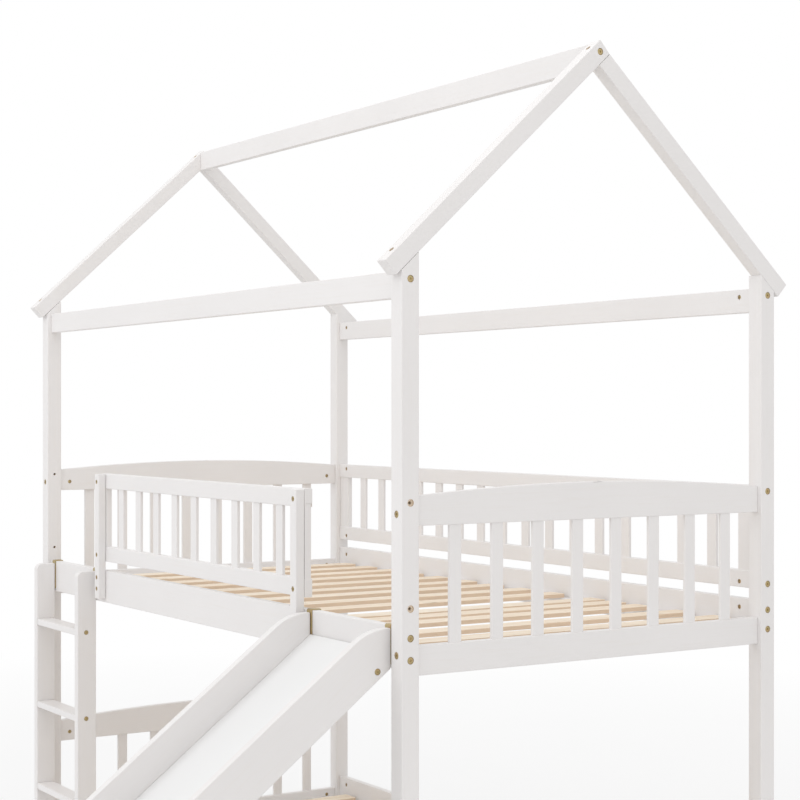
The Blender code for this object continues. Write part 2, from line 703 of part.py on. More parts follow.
def guard_rows(face, ends, stile_width, count):
    """Corners of a guard's end stiles and balusters, all set back from the -Y face of its rails."""
    front = FACES[face] * POST_Y - BOARD_THICKNESS / 2 + BALUSTER_SETBACK
    bottom = GUARD_BOTTOM + GUARD_RAIL_HEIGHT
    low_x = ends[0] + FIT_GAP + stile_width
    high_x = ends[1] - FIT_GAP - stile_width
    step = (high_x - low_x + GUARD_BALUSTER_WIDTH) / (count + 1)
    members = [(low_x - stile_width / 2, stile_width, GUARD_STILE_DEPTH),
               (high_x + stile_width / 2, stile_width, GUARD_STILE_DEPTH)]
    for index in range(count):
        middle = (low_x + high_x) / 2 + step * (index - (count - 1) / 2)
        members.append((middle, GUARD_BALUSTER_WIDTH, GUARD_BALUSTER_DEPTH))
    rows = []
    for middle, width, depth in members:
        low = (middle - width / 2, front, bottom)
        rows.append((low, (middle + width / 2, front + depth, GUARD_TOP_BOARD)))
    return rows


def build_guard(face, ends, stile_width, count, joinery):
    """Guard panel in the plane of one face's posts."""
    top_rail = f"{face}_guard_top_rail"
    corners = along_x_board(face, ends, GUARD_BOTTOM, GUARD_RAIL_HEIGHT)
    comb(f"{face}_guard_balusters", corners, guard_rows(face, ends, stile_width, count), joinery, top_rail)
    wooden_board(top_rail, along_x_board(face, ends, GUARD_TOP_BOARD, GUARD_RAIL_HEIGHT), joinery)


def build_uprights(joinery):
    back = RAIL_FRONT_Y - FIT_GAP
    bottom = UPPER_BASE + SIDE_RAIL_RISE + UPRIGHT_BOTTOM_RISE
    for (side, sign), outer in zip(SIDES.items(), FRONT_GUARD_ENDS):
        low_x, high_x = sorted((outer, outer - sign * FRONT_STILE_WIDTH))
        corners = ((low_x, back - UPRIGHT_THICKNESS, bottom), (high_x, back, GUARD_TOP - UPRIGHT_TOP_DROP))
        wooden_board(f"front_guard_upright_{side}", corners, joinery)


def strap_outline():
    """(y, z) outline of a hook strap: a leg on the rail's front, a bend over its top and a lip behind it."""
    inner_front = RAIL_FRONT_Y - FIT_GAP
    inner_back = RAIL_FRONT_Y + BOARD_THICKNESS + FIT_GAP
    inner_top = SIDE_RAIL_TOP + FIT_GAP
    outer_front = inner_front - STRAP_THICKNESS
    outer_back = inner_back + STRAP_THICKNESS
    outer_top = inner_top + STRAP_THICKNESS
    leg = inner_top - STRAP_LEG
    lip = inner_top - STRAP_LIP
    return [(inner_front, leg), (inner_front, inner_top), (inner_back, inner_top), (inner_back, lip),
            (outer_back, lip), (outer_back, outer_top), (outer_front, outer_top), (outer_front, leg)]


def plan_straps(joinery, owner, places):
    """Two screw holes in each strap's leg, and pilot bores in the back edge of the board that it carries."""
    outward = (0, -1, 0)
    leg_bottom = SIDE_RAIL_TOP + FIT_GAP - STRAP_LEG
    for side, sign, outer_x in places:
        middle_x = outer_x - sign * STRAP_SCREW_EDGE
        for rise in STRAP_SCREW_RISES:
            height = leg_bottom + rise
            joinery.bore(f"{owner}_hook_{side}", (middle_x, RAIL_FRONT_Y - FIT_GAP, height), outward,
                         STRAP_SCREW_RADIUS, STRAP_THICKNESS + CUT_OVERRUN)
            joinery.bore(f"{owner}_{side}", (middle_x, HOOKED_BACK_Y, height), outward, STRAP_SCREW_RADIUS,
                         STRAP_SCREW_REACH)


def build_straps(joinery, owner, places):
    for side, sign, outer_x in places:
        builder = bmesh.new()
        low_x, high_x = sorted((outer_x - sign * STRAP_OUTER_INSET,
                                outer_x - sign * (STRAP_OUTER_INSET + STRAP_WIDTH)))
        add_prism(builder, strap_outline(), low_x, high_x)
        piece = finish_piece(f"{owner}_hook_{side}", builder, ZINC)
        joinery.cut_piece(piece)


def ladder_places():
    """Name, sign and outer X of each ladder stile: the left one stands beside the left post."""
    return [("stile_left", -1, LADDER_OUTER_LEFT), ("stile_right", 1, LADDER_OUTER_RIGHT)]


def rung_tops():
    """Heights of the rungs' top faces, from the lowest up."""
    return [LADDER_TOP - TOP_RUNG_DROP - RUNG_PITCH * index for index in reversed(range(RUNG_COUNT))]


def plan_ladder(joinery):
    """Each rung is let into both stiles and bolted through them."""
    front = HOOKED_BACK_Y - LADDER_STILE_DEPTH + RUNG_SETBACK
    for stile, sign, outer_x in ladder_places():
        inner_x = outer_x - sign * LADDER_STILE_THICKNESS
        seat_x = inner_x + sign * RUNG_HOUSING
        housings = joinery.cutter(f"ladder_{stile}", "housings")
        for index, top in enumerate(rung_tops()):
            middle_y = front + RUNG_DEPTH / 2
            middle_z = top - RUNG_THICKNESS / 2
            joinery.bolt_hole(f"ladder_{stile}", (outer_x, middle_y, middle_z), (-sign, 0, 0),
                              LADDER_STILE_THICKNESS + CUT_OVERRUN)
            joinery.bore(f"ladder_rung_{index + 1}", (seat_x, middle_y, middle_z), (-sign, 0, 0),
                         BOLT_SHANK_RADIUS, LADDER_BOLT_REACH - LADDER_STILE_THICKNESS + RUNG_HOUSING)
            low_x, high_x = sorted((seat_x, inner_x - sign * CUT_OVERRUN))
            low = (low_x, front - FIT_GAP, top - RUNG_THICKNESS - FIT_GAP)
            add_box(housings, low, (high_x, front + RUNG_DEPTH + FIT_GAP, top + FIT_GAP))


def arc(centre_y, centre_z, radius, start, end):
    """Points of a circle arc in the YZ plane."""
    turns = [start + (end - start) * step / ARC_STEPS for step in range(ARC_STEPS + 1)]
    return [(centre_y + radius * math.cos(turn), centre_z + radius * math.sin(turn)) for turn in turns]


def ladder_stile_outline():
    """(y, z) outline of a stile, with its top front corner rounded."""
    back = HOOKED_BACK_Y
    front = back - LADDER_STILE_DEPTH
    corner = arc(front + LADDER_CORNER_RADIUS, LADDER_TOP - LADDER_CORNER_RADIUS, LADDER_CORNER_RADIUS,
                 math.pi / 2, math.pi)
    return [(front, 0), (back, 0), (back, LADDER_TOP)] + corner


def build_ladder(joinery):
    places = ladder_places()
    for stile, sign, outer_x in places:
        low_x, high_x = sorted((outer_x, outer_x - sign * LADDER_STILE_THICKNESS))
        wooden_prism(f"ladder_{stile}", ladder_stile_outline(), low_x, high_x, joinery)
    front = HOOKED_BACK_Y - LADDER_STILE_DEPTH + RUNG_SETBACK
    inset = LADDER_STILE_THICKNESS - RUNG_HOUSING + FIT_GAP
    low_x = places[0][2] + inset
    high_x = places[1][2] - inset
    for index, top in enumerate(rung_tops()):
        corners = ((low_x, front, top - RUNG_THICKNESS), (high_x, front + RUNG_DEPTH, top))
        wooden_board(f"ladder_rung_{index + 1}", corners, joinery)
    build_straps(joinery, "ladder", places)


def slide_places():
    """Name, sign and outer X of each slide side: the right one stands beside the right post."""
    return [("side_left", -1, SLIDE_OUTER_LEFT), ("side_right", 1, SLIDE_OUTER_RIGHT)]


def slide_point(distance, drop):
    """Point on the slide: distance down the slope from the back edge, at a depth below the top line."""
    y = HOOKED_BACK_Y - distance * math.cos(SLIDE_PITCH)
    return Vector((0, y, slide_line(drop) + math.tan(SLIDE_PITCH) * y))


def slide_side_outline():
    """Outline of a slide side: flat shoulder, round bend, long slope, rounded nose and a foot on the floor."""
    back = HOOKED_BACK_Y
    bend = SLIDE_SHOULDER_RADIUS * math.tan(SLIDE_PITCH / 2)
    shoulder = arc(back - SLIDE_SHOULDER + bend, SLIDE_TOP - SLIDE_SHOULDER_RADIUS, SLIDE_SHOULDER_RADIUS,
                   math.pi / 2, math.pi / 2 + SLIDE_PITCH)
    nose_set = SLIDE_NOSE_RADIUS * math.tan((math.pi / 2 - SLIDE_PITCH) / 2)
    nose = arc(SLIDE_NOSE_Y + SLIDE_NOSE_RADIUS, SLIDE_NOSE_HEIGHT - nose_set, SLIDE_NOSE_RADIUS,
               math.pi / 2 + SLIDE_PITCH, math.pi)
    foot_back = slide_y(SLIDE_SIDE_DEPTH, 0)
    under_back = slide_line(SLIDE_SIDE_DEPTH) + math.tan(SLIDE_PITCH) * back
    return [(back, SLIDE_TOP)] + shoulder + nose + [(SLIDE_NOSE_Y, 0), (foot_back, 0), (back, under_back)]


def chute_outline(gap, back):
    """Outline of the bed board, grown by a gap for the grooves that hold it."""
    top_drop = SLIDE_BED_DROP - gap
    low_drop = SLIDE_BED_DROP + SLIDE_BED_THICKNESS + gap
    front = slide_y(SLIDE_BED_DROP, SLIDE_BED_END_HEIGHT) - gap
    slope = math.tan(SLIDE_PITCH)
    return [(back, slide_line(top_drop) + slope * back), (front, slide_line(top_drop) + slope * front),
            (front, slide_line(low_drop) + slope * front), (back, slide_line(low_drop) + slope * back)]


def bar_distances():
    """Distances of the cross bars down the slope."""
    bed_length = (HOOKED_BACK_Y - slide_y(SLIDE_BED_DROP, SLIDE_BED_END_HEIGHT)) / math.cos(SLIDE_PITCH)
    spread = bed_length - SLIDE_LOW_BAR_INSET - SLIDE_TOP_BAR_INSET
    return [SLIDE_TOP_BAR_INSET + spread * index / (SLIDE_BAR_COUNT - 1) for index in range(SLIDE_BAR_COUNT)]


def bar_middle_drop():
    return SLIDE_BED_DROP + SLIDE_BED_THICKNESS + FIT_GAP + SLIDE_BAR_THICKNESS / 2


def plan_slide(joinery):
    """The bed lies in grooves in the sides, and the cross bars under it are bolted through them."""
    for side, sign, outer_x in slide_places():
        inner_x = outer_x - sign * SLIDE_SIDE_THICKNESS
        direction = (-sign, 0, 0)
        for index, distance in enumerate(bar_distances()):
            middle = slide_point(distance, bar_middle_drop())
            joinery.bolt_hole(f"slide_{side}", (outer_x, middle.y, middle.z), direction,
                              SLIDE_SIDE_THICKNESS + CUT_OVERRUN)
            joinery.bore(f"slide_cross_bar_{index + 1}", (inner_x, middle.y, middle.z), direction,
                         BOLT_SHANK_RADIUS, SLIDE_BOLT_REACH - SLIDE_SIDE_THICKNESS)
        low_x, high_x = sorted((inner_x + sign * SLIDE_BED_HOUSING, inner_x - sign * CUT_OVERRUN))
        groove = joinery.cutter(f"slide_{side}", "groove")
        add_prism(groove, chute_outline(FIT_GAP, HOOKED_BACK_Y + CUT_OVERRUN), low_x, high_x)


def build_cross_bars(joinery, inner_left, inner_right):
    """The bars are turned to the slope, so that they lie flat against the bed."""
    for index, distance in enumerate(bar_distances()):
        builder = bmesh.new()
        middle = slide_point(distance, bar_middle_drop())
        middle.x = (inner_left + inner_right) / 2
        half = Vector((inner_right - inner_left - 2 * FIT_GAP, SLIDE_BAR_WIDTH, SLIDE_BAR_THICKNESS)) / 2
        add_board(builder, -half, half)
        builder.transform(Matrix.Translation(middle) @ Matrix.Rotation(SLIDE_PITCH, 4, "X"))
        piece = finish_piece(f"slide_cross_bar_{index + 1}", builder, PAINT)
        joinery.cut_piece(piece)


def build_slide(joinery):
    places = slide_places()
    for side, sign, outer_x in places:
        low_x, high_x = sorted((outer_x, outer_x - sign * SLIDE_SIDE_THICKNESS))
        wooden_prism(f"slide_{side}", slide_side_outline(), low_x, high_x, joinery)
    inner_left = places[0][2] + SLIDE_SIDE_THICKNESS
    inner_right = places[1][2] - SLIDE_SIDE_THICKNESS
    housing = SLIDE_BED_HOUSING - FIT_GAP
    builder = bmesh.new()
    add_prism(builder, chute_outline(0, HOOKED_BACK_Y), inner_left - housing, inner_right + housing)
    finish_piece("slide_bed", builder, PAINT)
    build_cross_bars(joinery, inner_left, inner_right)
    build_straps(joinery, "slide", places)


def main():
    clear_scene()
    bed_origin = add_empty("bed_origin", (0, -PLAN_CENTRE_Y, 0))
    ladder_x = (LADDER_OUTER_LEFT + LADDER_OUTER_RIGHT) / 2
    slide_x = (SLIDE_OUTER_LEFT + SLIDE_OUTER_RIGHT) / 2
    add_empty("ladder_origin", (ladder_x, HOOKED_BACK_Y, SIDE_RAIL_TOP), bed_origin)
    add_empty("slide_origin", (slide_x, HOOKED_BACK_Y, SIDE_RAIL_TOP), bed_origin)

    joinery = Joinery()
    plan_frame_joints(joinery)
    spare_holes(joinery)
    plan_rafter_screws(joinery)
    plan_uprights(joinery)
    plan_ladder(joinery)
    plan_slide(joinery)
    plan_straps(joinery, "ladder", ladder_places())
    plan_straps(joinery, "slide", slide_places())

    build_posts(joinery)
    build_guard("back", BOARD_ENDS, BACK_STILE_WIDTH, BACK_BALUSTER_COUNT, joinery)
    build_guard("front", FRONT_GUARD_ENDS, FRONT_STILE_WIDTH, FRONT_BALUSTER_COUNT, joinery)
    for name, base in BEDS.items():
        build_deck(name, base, joinery)
    build_end_frames(joinery)
    build_uprights(joinery)
    build_roof(joinery)
    build_ladder(joinery)
    build_slide(joinery)
    joinery.make_bolts()


main()
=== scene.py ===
"""House-frame bed for two sleepers with a hook-on ladder and a hook-on slide, dressed for its picture.

Each board, slat, bolt, nut, screw and hook is modelled again here with its rounded edges, drilled recesses
and finish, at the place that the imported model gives. It stands for the plain solid of the same piece, where
there is one. X runs along the bed, the ladder and the slide hang on the front (-Y) rail, and Z is up from
the floor.
"""
import math

import bmesh
import bpy
from mathutils import Matrix, Vector


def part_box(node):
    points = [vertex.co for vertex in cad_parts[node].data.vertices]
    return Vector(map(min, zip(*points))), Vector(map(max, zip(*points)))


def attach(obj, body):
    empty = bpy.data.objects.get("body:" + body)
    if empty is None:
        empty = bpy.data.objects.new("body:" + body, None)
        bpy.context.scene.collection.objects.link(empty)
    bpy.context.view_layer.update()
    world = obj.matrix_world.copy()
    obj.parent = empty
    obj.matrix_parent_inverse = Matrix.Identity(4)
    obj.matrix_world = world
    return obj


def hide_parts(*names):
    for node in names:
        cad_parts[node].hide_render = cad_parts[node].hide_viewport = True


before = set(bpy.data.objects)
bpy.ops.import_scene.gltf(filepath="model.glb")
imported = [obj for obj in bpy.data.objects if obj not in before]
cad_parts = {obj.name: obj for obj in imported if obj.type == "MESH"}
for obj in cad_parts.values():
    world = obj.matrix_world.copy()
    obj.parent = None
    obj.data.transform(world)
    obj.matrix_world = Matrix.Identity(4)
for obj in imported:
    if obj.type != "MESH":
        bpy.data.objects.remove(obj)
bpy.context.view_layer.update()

bl_info = {
    "name": "House-frame bed",
    "version": (1, 0, 0),
    "blender": (4, 5, 0),
    "location": "3D View > Sidebar > House bed",
    "description": "Boards, fasteners, finishes and studio of a house-frame bed with ladder and slide",
    "category": "Object",
}

SIDES = {"left": -1, "right": 1}
FACES = {"front": -1, "back": 1}
BEDS = ("lower", "upper")

# Boards, in metres
POST_SIDE = 0.042
BOARD_THICKNESS = 0.020
FIT_GAP = 0.0003
ROOF_PITCH = math.radians(42.5)
RAFTER_DEPTH = 0.040
RAFTER_WIDTH = 0.035
RAFTER_OVERHANG = 0.017
EAVE_HEIGHT = 1.688
BACK_EAVE_DROP = 0.009
ARCH_BOARD_END_HEIGHT = 0.061
ARCH_CROWN = 0.0205
END_RAIL_HEIGHT = 0.062
END_BALUSTER_SIZE = (0.008, 0.030)
END_BALUSTER_FIRST_GAP = 0.0835
END_BALUSTER_COUNT = 8
GUARD_RAIL_HEIGHT = 0.0415
GUARD_BALUSTER_SIZE = (0.0325, 0.008)
GUARD_STILE_DEPTH = 0.015
BALUSTER_SETBACK = 0.0025
HOUSING_DEPTH = 0.008
# Each guard's stile width, number of balusters, and how far its stiles stand back from the rail's face
GUARDS = {"back": (0.050, 16, BALUSTER_SETBACK), "front": (0.028, 9, 0.0007)}

# Slats and ledgers
SLAT_WIDTH = 0.060
SLAT_THICKNESS = 0.0105
SLAT_FIRST_GAP = 0.060
SLAT_END_GAP = 0.0115
SLAT_COUNT = 14
LEDGER_SIDE = 0.022
# The upper bed's slats have slipped along their ledgers: bed and slat, and its slip in slat widths
SLAT_SHIFT_SHARES = {("upper", 4): 0.10, ("upper", 5): 0.25, ("upper", 6): 0.23, ("upper", 7): 0.33,
                     ("upper", 8): 0.38, ("upper", 9): 1.03, ("upper", 10): 0.23, ("upper", 11): -0.37,
                     ("upper", 12): -0.04}

# Bolts, their recesses, and where they stand
BOLT_SEAT = 0.0032
RECESS_RADIUS = 0.0078
RECESS_DEPTH = 0.0035
BORE_RADIUS = 0.0036
SOCKET_DEPTH = 0.0016
SOCKET_SIDES = 6
BOLT_RIM_SHARE = 0.28
BOLT_POINT_SHARE = 0.5
UPRIGHT_BOLT_SHARE = 0.78
LADDER_BOLT_SHARE = 0.84
SLIDE_BOLT_SHARE = 0.92
FRAME_BOLT_LENGTH = 0.086
GUARD_BOLT_LENGTH = 0.0355
RUNG_BOLT_LENGTH = 0.0505
SIDE_RAIL_BOLT_SPACING = 0.045
GUARD_BOLT_EDGE = 0.0135
ARCH_BOLT_RISE = 0.025
END_RAIL_BOLT_RISE = 0.0435
EAVE_BOLT_RISE = 0.038
RIDGE_BOLT_RISE = 0.036
UPRIGHT_GUARD_BOLT_RISE = 0.019
UPRIGHT_RAIL_BOLT_RISE = 0.039
UPRIGHT_RAIL_BOLT_SPACING = 0.031

# Barrel nuts
SIDE_NUT_REACH = 0.085
END_NUT_REACH = 0.073
NUT_HOLE_RADIUS = 0.0056
NUT_LENGTH = 0.014
NUT_EASE = 0.0005
NUT_RIM_ANGLE = 1.0
NUT_SLOT_HALF_WIDTH = 0.0006
NUT_SLOT_DEPTH = 0.0012
NUT_THREAD_RADIUS = 0.0032
NUT_THREAD_REACH = 0.030
NUT_THREAD_SIDES = 16

# Ladder, slide and hook straps
LADDER_CORNER_RADIUS = 0.016
RUNG_COUNT = 3
SLIDE_PITCH = math.radians(37.2)
SLIDE_SHOULDER = 0.0507
SLIDE_SHOULDER_RADIUS = 0.130
SLIDE_SIDE_DEPTH = 0.0974
SLIDE_NOSE_HEIGHT = 0.030
SLIDE_NOSE_RADIUS = 0.020
SLIDE_BED_DROP = 0.069
SLIDE_BED_THICKNESS = 0.005
SLIDE_BED_HOUSING = 0.006
SLIDE_BAR_THICKNESS = 0.014
SLIDE_BAR_WIDTH = 0.034
SLIDE_BAR_COUNT = 3
STRAP_THICKNESS = 0.0025
STRAP_LEG = 0.080
STRAP_LIP = 0.022
STRAP_SCREW_EDGE = 0.010
STRAP_SCREW_RISES = (0.015, 0.055)
STRAP_BEND = 0.0030
STRAP_BEND_SEGMENTS = 5

# Screws of the straps, and the larger ones of the roof
SCREW_HEAD_RADIUS = 0.0038
SCREW_HEAD_DEPTH = 0.0018
SCREW_CORE_RADIUS = 0.0016
SCREW_CROSS_REACH = 0.0021
SCREW_CROSS_SHARE = 0.2
SCREW_TIP_SHARE = 0.2
SCREW_LENGTH = 0.018
SCREW_SIDES = 20
ROOF_SCREW_SCALE = 1.35
ROOF_SCREW_SEAT = 0.0036
SCREW_RECESS_RADIUS = 0.0060
SCREW_RECESS_DEPTH = 0.004
EAVE_SCREW_INSET = 0.0176
APEX_SCREW_INSET = 0.0274

# How finely round forms are made, and how faces and edges are found
FINE_EASE = 0.0004
FINE_SEGMENTS = 2
EASE_SEGMENTS = 3
UPRIGHT_EASE_SHARE = 0.8
ROUND_SIDES = 32
ARCH_STEPS = 36
CORNER_STEPS = 12
SHARP_ANGLE = math.radians(35)
FACING_UP = 0.9
FACING_SIDEWAYS = 0.8
PLACE_TOLERANCE = 0.00002
SAW_TOLERANCE = 0.000002
OVERRUN = 0.004

X_AXIS = Vector((1, 0, 0))
Y_AXIS = Vector((0, 1, 0))
Z_AXIS = Vector((0, 0, 1))
QUARTER = math.pi / 2

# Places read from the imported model
HALF_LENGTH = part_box("post_front_right")[1].x
FRONT_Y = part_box("post_front_left")[0].y
BACK_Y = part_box("post_back_left")[1].y
MIDDLE_Y = (FRONT_Y + BACK_Y) / 2
HALF_WIDTH = (BACK_Y - FRONT_Y) / 2
HOOKED_BACK_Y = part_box("slide_side_left")[1].y
SLIDE_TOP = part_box("slide_side_left")[1].z

# Floor, lights and camera
WHITE = (1.0, 1.0, 1.0, 1.0)
FLOOR_SIDE = 28.0
FLOOR_DROP = 0.001
CAMERA_SPOT = (4.0593, -1.8405, 1.4009)
CAMERA_TURN = (math.radians(90), 0, math.radians(57.738))
CAMERA_SHIFT = 0.01359
SENSOR_WIDTH = 36.0
CAMERA_REACH = 60.0
MILLIMETRES = 1000
# Each light's place, aim and width, the setting that gives its power, the share taken, and its colour
LIGHTS = {
    "top_light": ((0.9, -1.2, 5.2), (0, 0.2, 0.8), 5.5, "key", 1.0, (1.0, 1.0, 1.0)),
    "front_light": ((-2.2, -8.6, 4.4), (0, 0.3, 1.0), 5.0, "fill", 1.0, (0.97, 0.98, 1.0)),
    "end_light": ((10.5, 0.2, 3.2), (0, 0.5, 1.0), 5.0, "fill", 0.6, (1.0, 0.960, 0.93)),
}


# Settings

def colour_setting(name, description, default):
    return bpy.props.FloatVectorProperty(name=name, description=description, default=default,
                                         subtype="COLOR", size=3, min=0.0, max=1.0)


def length_setting(name, description, default, low, high, precision=4):
    return bpy.props.FloatProperty(name=name, description=description, default=default, min=low, max=high,
                                   subtype="DISTANCE", unit="LENGTH", precision=precision)


def power_setting(name, description, default):
    return bpy.props.FloatProperty(name=name, description=description, default=default, min=0.0,
                                   max=2000.0, subtype="POWER", unit="POWER")


class HouseBedPaint(bpy.types.PropertyGroup):
    """White paint on pine."""

    colour: colour_setting("Paint colour", "Colour of the satin paint", (0.828, 0.808, 0.800))
    roughness: bpy.props.FloatProperty(name="Sheen", description="Roughness of the dry paint",
                                       default=0.42, min=0.0, max=1.0, subtype="FACTOR")
    grain: length_setting("Grain relief", "How deep the grain shows through the paint",
                          0.00035, 0.0, 0.002, 5)
    edge_radius: length_setting("Edge radius", "Radius that the long edges of the boards are rounded to",
                                0.0022, 0.0005, 0.004)
    slide_colour: colour_setting("Slide colour", "Colour of the coated slide bed", (0.830, 0.830, 0.828))


class HouseBedPine(bpy.types.PropertyGroup):
    """Bare pine of the slats, and of holes drilled after painting."""

    light: colour_setting("Early wood", "Pale wood between the rings", (0.930, 0.835, 0.700))
    dark: colour_setting("Late wood", "Darker wood of the rings", (0.800, 0.645, 0.480))
    # Colour of the slats' narrow sides: duller sawn wood, set darker still as painted shade of those sides.
    sawn: colour_setting("Sawn edge", "Duller wood of the slats' narrow sides", (0.775, 0.600, 0.440))
    knot: colour_setting("Knots", "Colour at the heart of a knot", (0.420, 0.270, 0.160))
    edge_radius: length_setting("Slat edge radius", "Radius that the slats' edges are rounded to",
                                0.0015, 0.0005, 0.004)


class HouseBedHardware(bpy.types.PropertyGroup):
    """Yellow-zinc bolts, nuts, screws and hook straps."""

    colour: colour_setting("Zinc colour", "Colour of the yellow passivated zinc", (0.500, 0.390, 0.205))
    head_radius: length_setting("Bolt head radius", "Radius of the flat bolt heads",
                                0.0070, 0.005, 0.0074)
    head_thickness: length_setting("Bolt head thickness", "Thickness of the flat bolt heads",
                                   0.0022, 0.001, 0.0031)
    socket_radius: length_setting("Hex socket radius", "Corner radius of the hexagon socket",
                                  0.0029, 0.001, 0.004)
    shank_radius: length_setting("Shank radius", "Radius of the bolt shanks", 0.0030, 0.001, 0.0034)
    nut_radius: length_setting("Barrel nut radius", "Radius of the barrel nuts", 0.0050, 0.003, 0.0054)


class HouseBedStudio(bpy.types.PropertyGroup):
    """Floor, lights and camera."""

    floor: colour_setting("Floor colour", "Colour of the pale floor", (0.90, 0.90, 0.90))
    sky: bpy.props.FloatProperty(name="Surrounding light", default=0.75, min=0.0, max=2.0,
                                 description="Strength of the even light from all round")
    key: power_setting("Top light", "Power of the large soft light above", 66.0)
    fill: power_setting("Front light", "Power of the soft light in front", 125.0)
    lens: bpy.props.FloatProperty(name="Lens", description="Focal length of the camera", default=0.0803,
                                  min=0.01, max=0.3, subtype="DISTANCE_CAMERA", unit="CAMERA")


# Hand tools

def take(*pieces):
    """Select these pieces alone, the first of them active."""
    bpy.ops.object.select_all(action="DESELECT")
    for piece in pieces:
        piece.select_set(True)
    bpy.context.view_layer.objects.active = pieces[0]


def named(name):
    piece = bpy.context.object
    piece.name = piece.data.name = name
    return piece


def settle(piece):
    """Put a piece's place, turn and size into its mesh."""
    take(piece)
    bpy.ops.object.transform_apply(location=True, rotation=True, scale=True)
    return piece


def put(piece, place):
    piece.matrix_world = place
    return settle(piece)


def block(name, low, high):
    """A sawn block between two corners."""
    low, high = Vector(low), Vector(high)
    bpy.ops.object.select_all(action="DESELECT")
    bpy.ops.mesh.primitive_cube_add(size=1, location=(low + high) / 2)
    piece = named(name)
    bpy.ops.transform.resize(value=high - low)
    return settle(piece)


def rod(name, radius, low, high, side_count=ROUND_SIDES):
    """An upright round or many-sided rod between two heights."""
    bpy.ops.object.select_all(action="DESELECT")
    bpy.ops.mesh.primitive_cylinder_add(vertices=side_count, radius=radius, depth=high - low,
                                        location=(0, 0, (high + low) / 2))
    return settle(named(name))


def edit(piece, kind="EDGE"):
    """Open a piece for editing with nothing selected, and return its edit mesh."""
    take(piece)
    bpy.ops.object.mode_set(mode="EDIT")
    bpy.ops.mesh.select_mode(type=kind)
    bpy.ops.mesh.select_all(action="DESELECT")
    return bmesh.from_edit_mesh(piece.data)


def edit_edges(piece, chosen):
    """Open a piece for editing with the edges selected that pass a test."""
    mesh = edit(piece)
    for edge in mesh.edges:
        edge.select = chosen(edge)
    bmesh.update_edit_mesh(piece.data)


def edit_top(piece):
    """Open a piece for editing with its top face selected."""
    mesh = edit(piece, "FACE")
    for face in mesh.faces:
        face.select = face.normal.z > FACING_UP
    bmesh.update_edit_mesh(piece.data)


def lies_on(edge, point, normal):
    """Whether both ends of an edge lie in a plane."""
    return all(abs((vert.co - point).dot(normal)) < PLACE_TOLERANCE for vert in edge.verts)


def close(piece):
    bpy.ops.object.mode_set(mode="OBJECT")
    return piece


def pull_up(height):
    """Extrude the selected face upwards."""
    bpy.ops.mesh.extrude_region_move(TRANSFORM_OT_translate={"value": (0, 0, height)})


def saw(piece, cuts):
    """Saw a piece along planes, each a point and the direction of the side that falls off."""
    edit(piece, "FACE")
    for point, outward in cuts:
        bpy.ops.mesh.select_all(action="SELECT")
        bpy.ops.mesh.bisect(plane_co=point, plane_no=outward, use_fill=True, clear_outer=True,
                            threshold=SAW_TOLERANCE)
    return close(piece)


def round_edges(piece, radius, butts=()):
    """Round the sharp edges of a piece. Those of the faces that butt on another piece, each given by a
    point and a direction, are only broken a little."""
    butting = [(Vector(point), Vector(outward)) for point, outward in butts]

    def butts_on(edge):
        return any(lies_on(edge, point, outward) for point, outward in butting)

    mesh = edit(piece)
    bpy.ops.mesh.edges_select_sharp(sharpness=SHARP_ANGLE)
    for edge in mesh.edges:
        if edge.select and butts_on(edge):
            edge.select = False
    bmesh.update_edit_mesh(piece.data)
    bpy.ops.mesh.bevel(offset=radius, segments=EASE_SEGMENTS)
    close(piece)
    if butting:
        edit_edges(piece, butts_on)
        bpy.ops.mesh.bevel(offset=FINE_EASE, segments=1)
        close(piece)
    return piece


def plank(name, low, high, axis, radius):
    """A block with its edges rounded, whose two ends across an axis butt on other pieces."""
    return round_edges(block(name, low, high), radius, [(low, axis), (high, axis)])


def aimed(start, direction):
    """Place that carries local +Z to a direction and the origin to a start point."""
    turn = Z_AXIS.rotation_difference(Vector(direction).normalized())
    return Matrix.Translation(start) @ turn.to_matrix().to_4x4()


def copy_at(pattern, place, name):
    """Copy a pattern, with its own mesh, to a place."""
    take(pattern)
    bpy.ops.object.duplicate(linked=False)
    return put(named(name), place)


def discard(piece):
    take(piece)
    bpy.ops.object.delete()


def join(pieces, name):
    take(*pieces)
    if len(pieces) > 1:
        bpy.ops.object.join()
    return named(name)


def apply(piece, kind, **choices):
    """Add a modifier and apply it."""
    take(piece)
    bpy.ops.object.modifier_add(type=kind)
    modifier = piece.modifiers[-1]
    for choice, value in choices.items():
        setattr(modifier, choice, value)
    bpy.ops.object.modifier_apply(modifier=modifier.name)
    return piece


def work_with(piece, tool, operation="DIFFERENCE"):
    """Cut a tool from a piece, or unite the two, and clear the tool away."""
    apply(piece, "BOOLEAN", operation=operation, solver="EXACT", object=tool, material_mode="INDEX")
    discard(tool)
    return piece


# Places of a board's finishes
PAINTED = 0
DRILLED = 1
UPRIGHTS = 2
FINISH_COUNT = 3


def open_places(piece, count=FINISH_COUNT):
    """Give a raw piece places for its finishes, which are filled in when it is finished."""
    while len(piece.data.materials) < count:
        piece.data.materials.append(None)


def face_finish(piece, index):
    """Give all faces of a raw piece one of its finishes."""
    open_places(piece)
    for face in piece.data.polygons:
        face.material_index = index


def cut_with(piece, cutters):
    """Cut joined cutters from a piece. The cut faces show drilled wood."""
    tool = join(cutters, piece.name + "_cutter")
    face_finish(tool, DRILLED)
    open_places(piece)
    return work_with(piece, tool)


def drill_bit(name, radius, length, side_count=ROUND_SIDES):
    """A straight cutter along +Z that starts a little outside the wood."""
    return rod(name, radius, -OVERRUN, length, side_count)


def step_bit(name, head_radius, head_depth, shank_radius, length):
    """A stepped cutter: a recess for a head, then a narrower bore."""
    bit = drill_bit(name, head_radius, head_depth)
    edit_top(bit)
    bpy.ops.mesh.inset(thickness=head_radius - shank_radius)
    pull_up(length - head_depth)
    return close(bit)


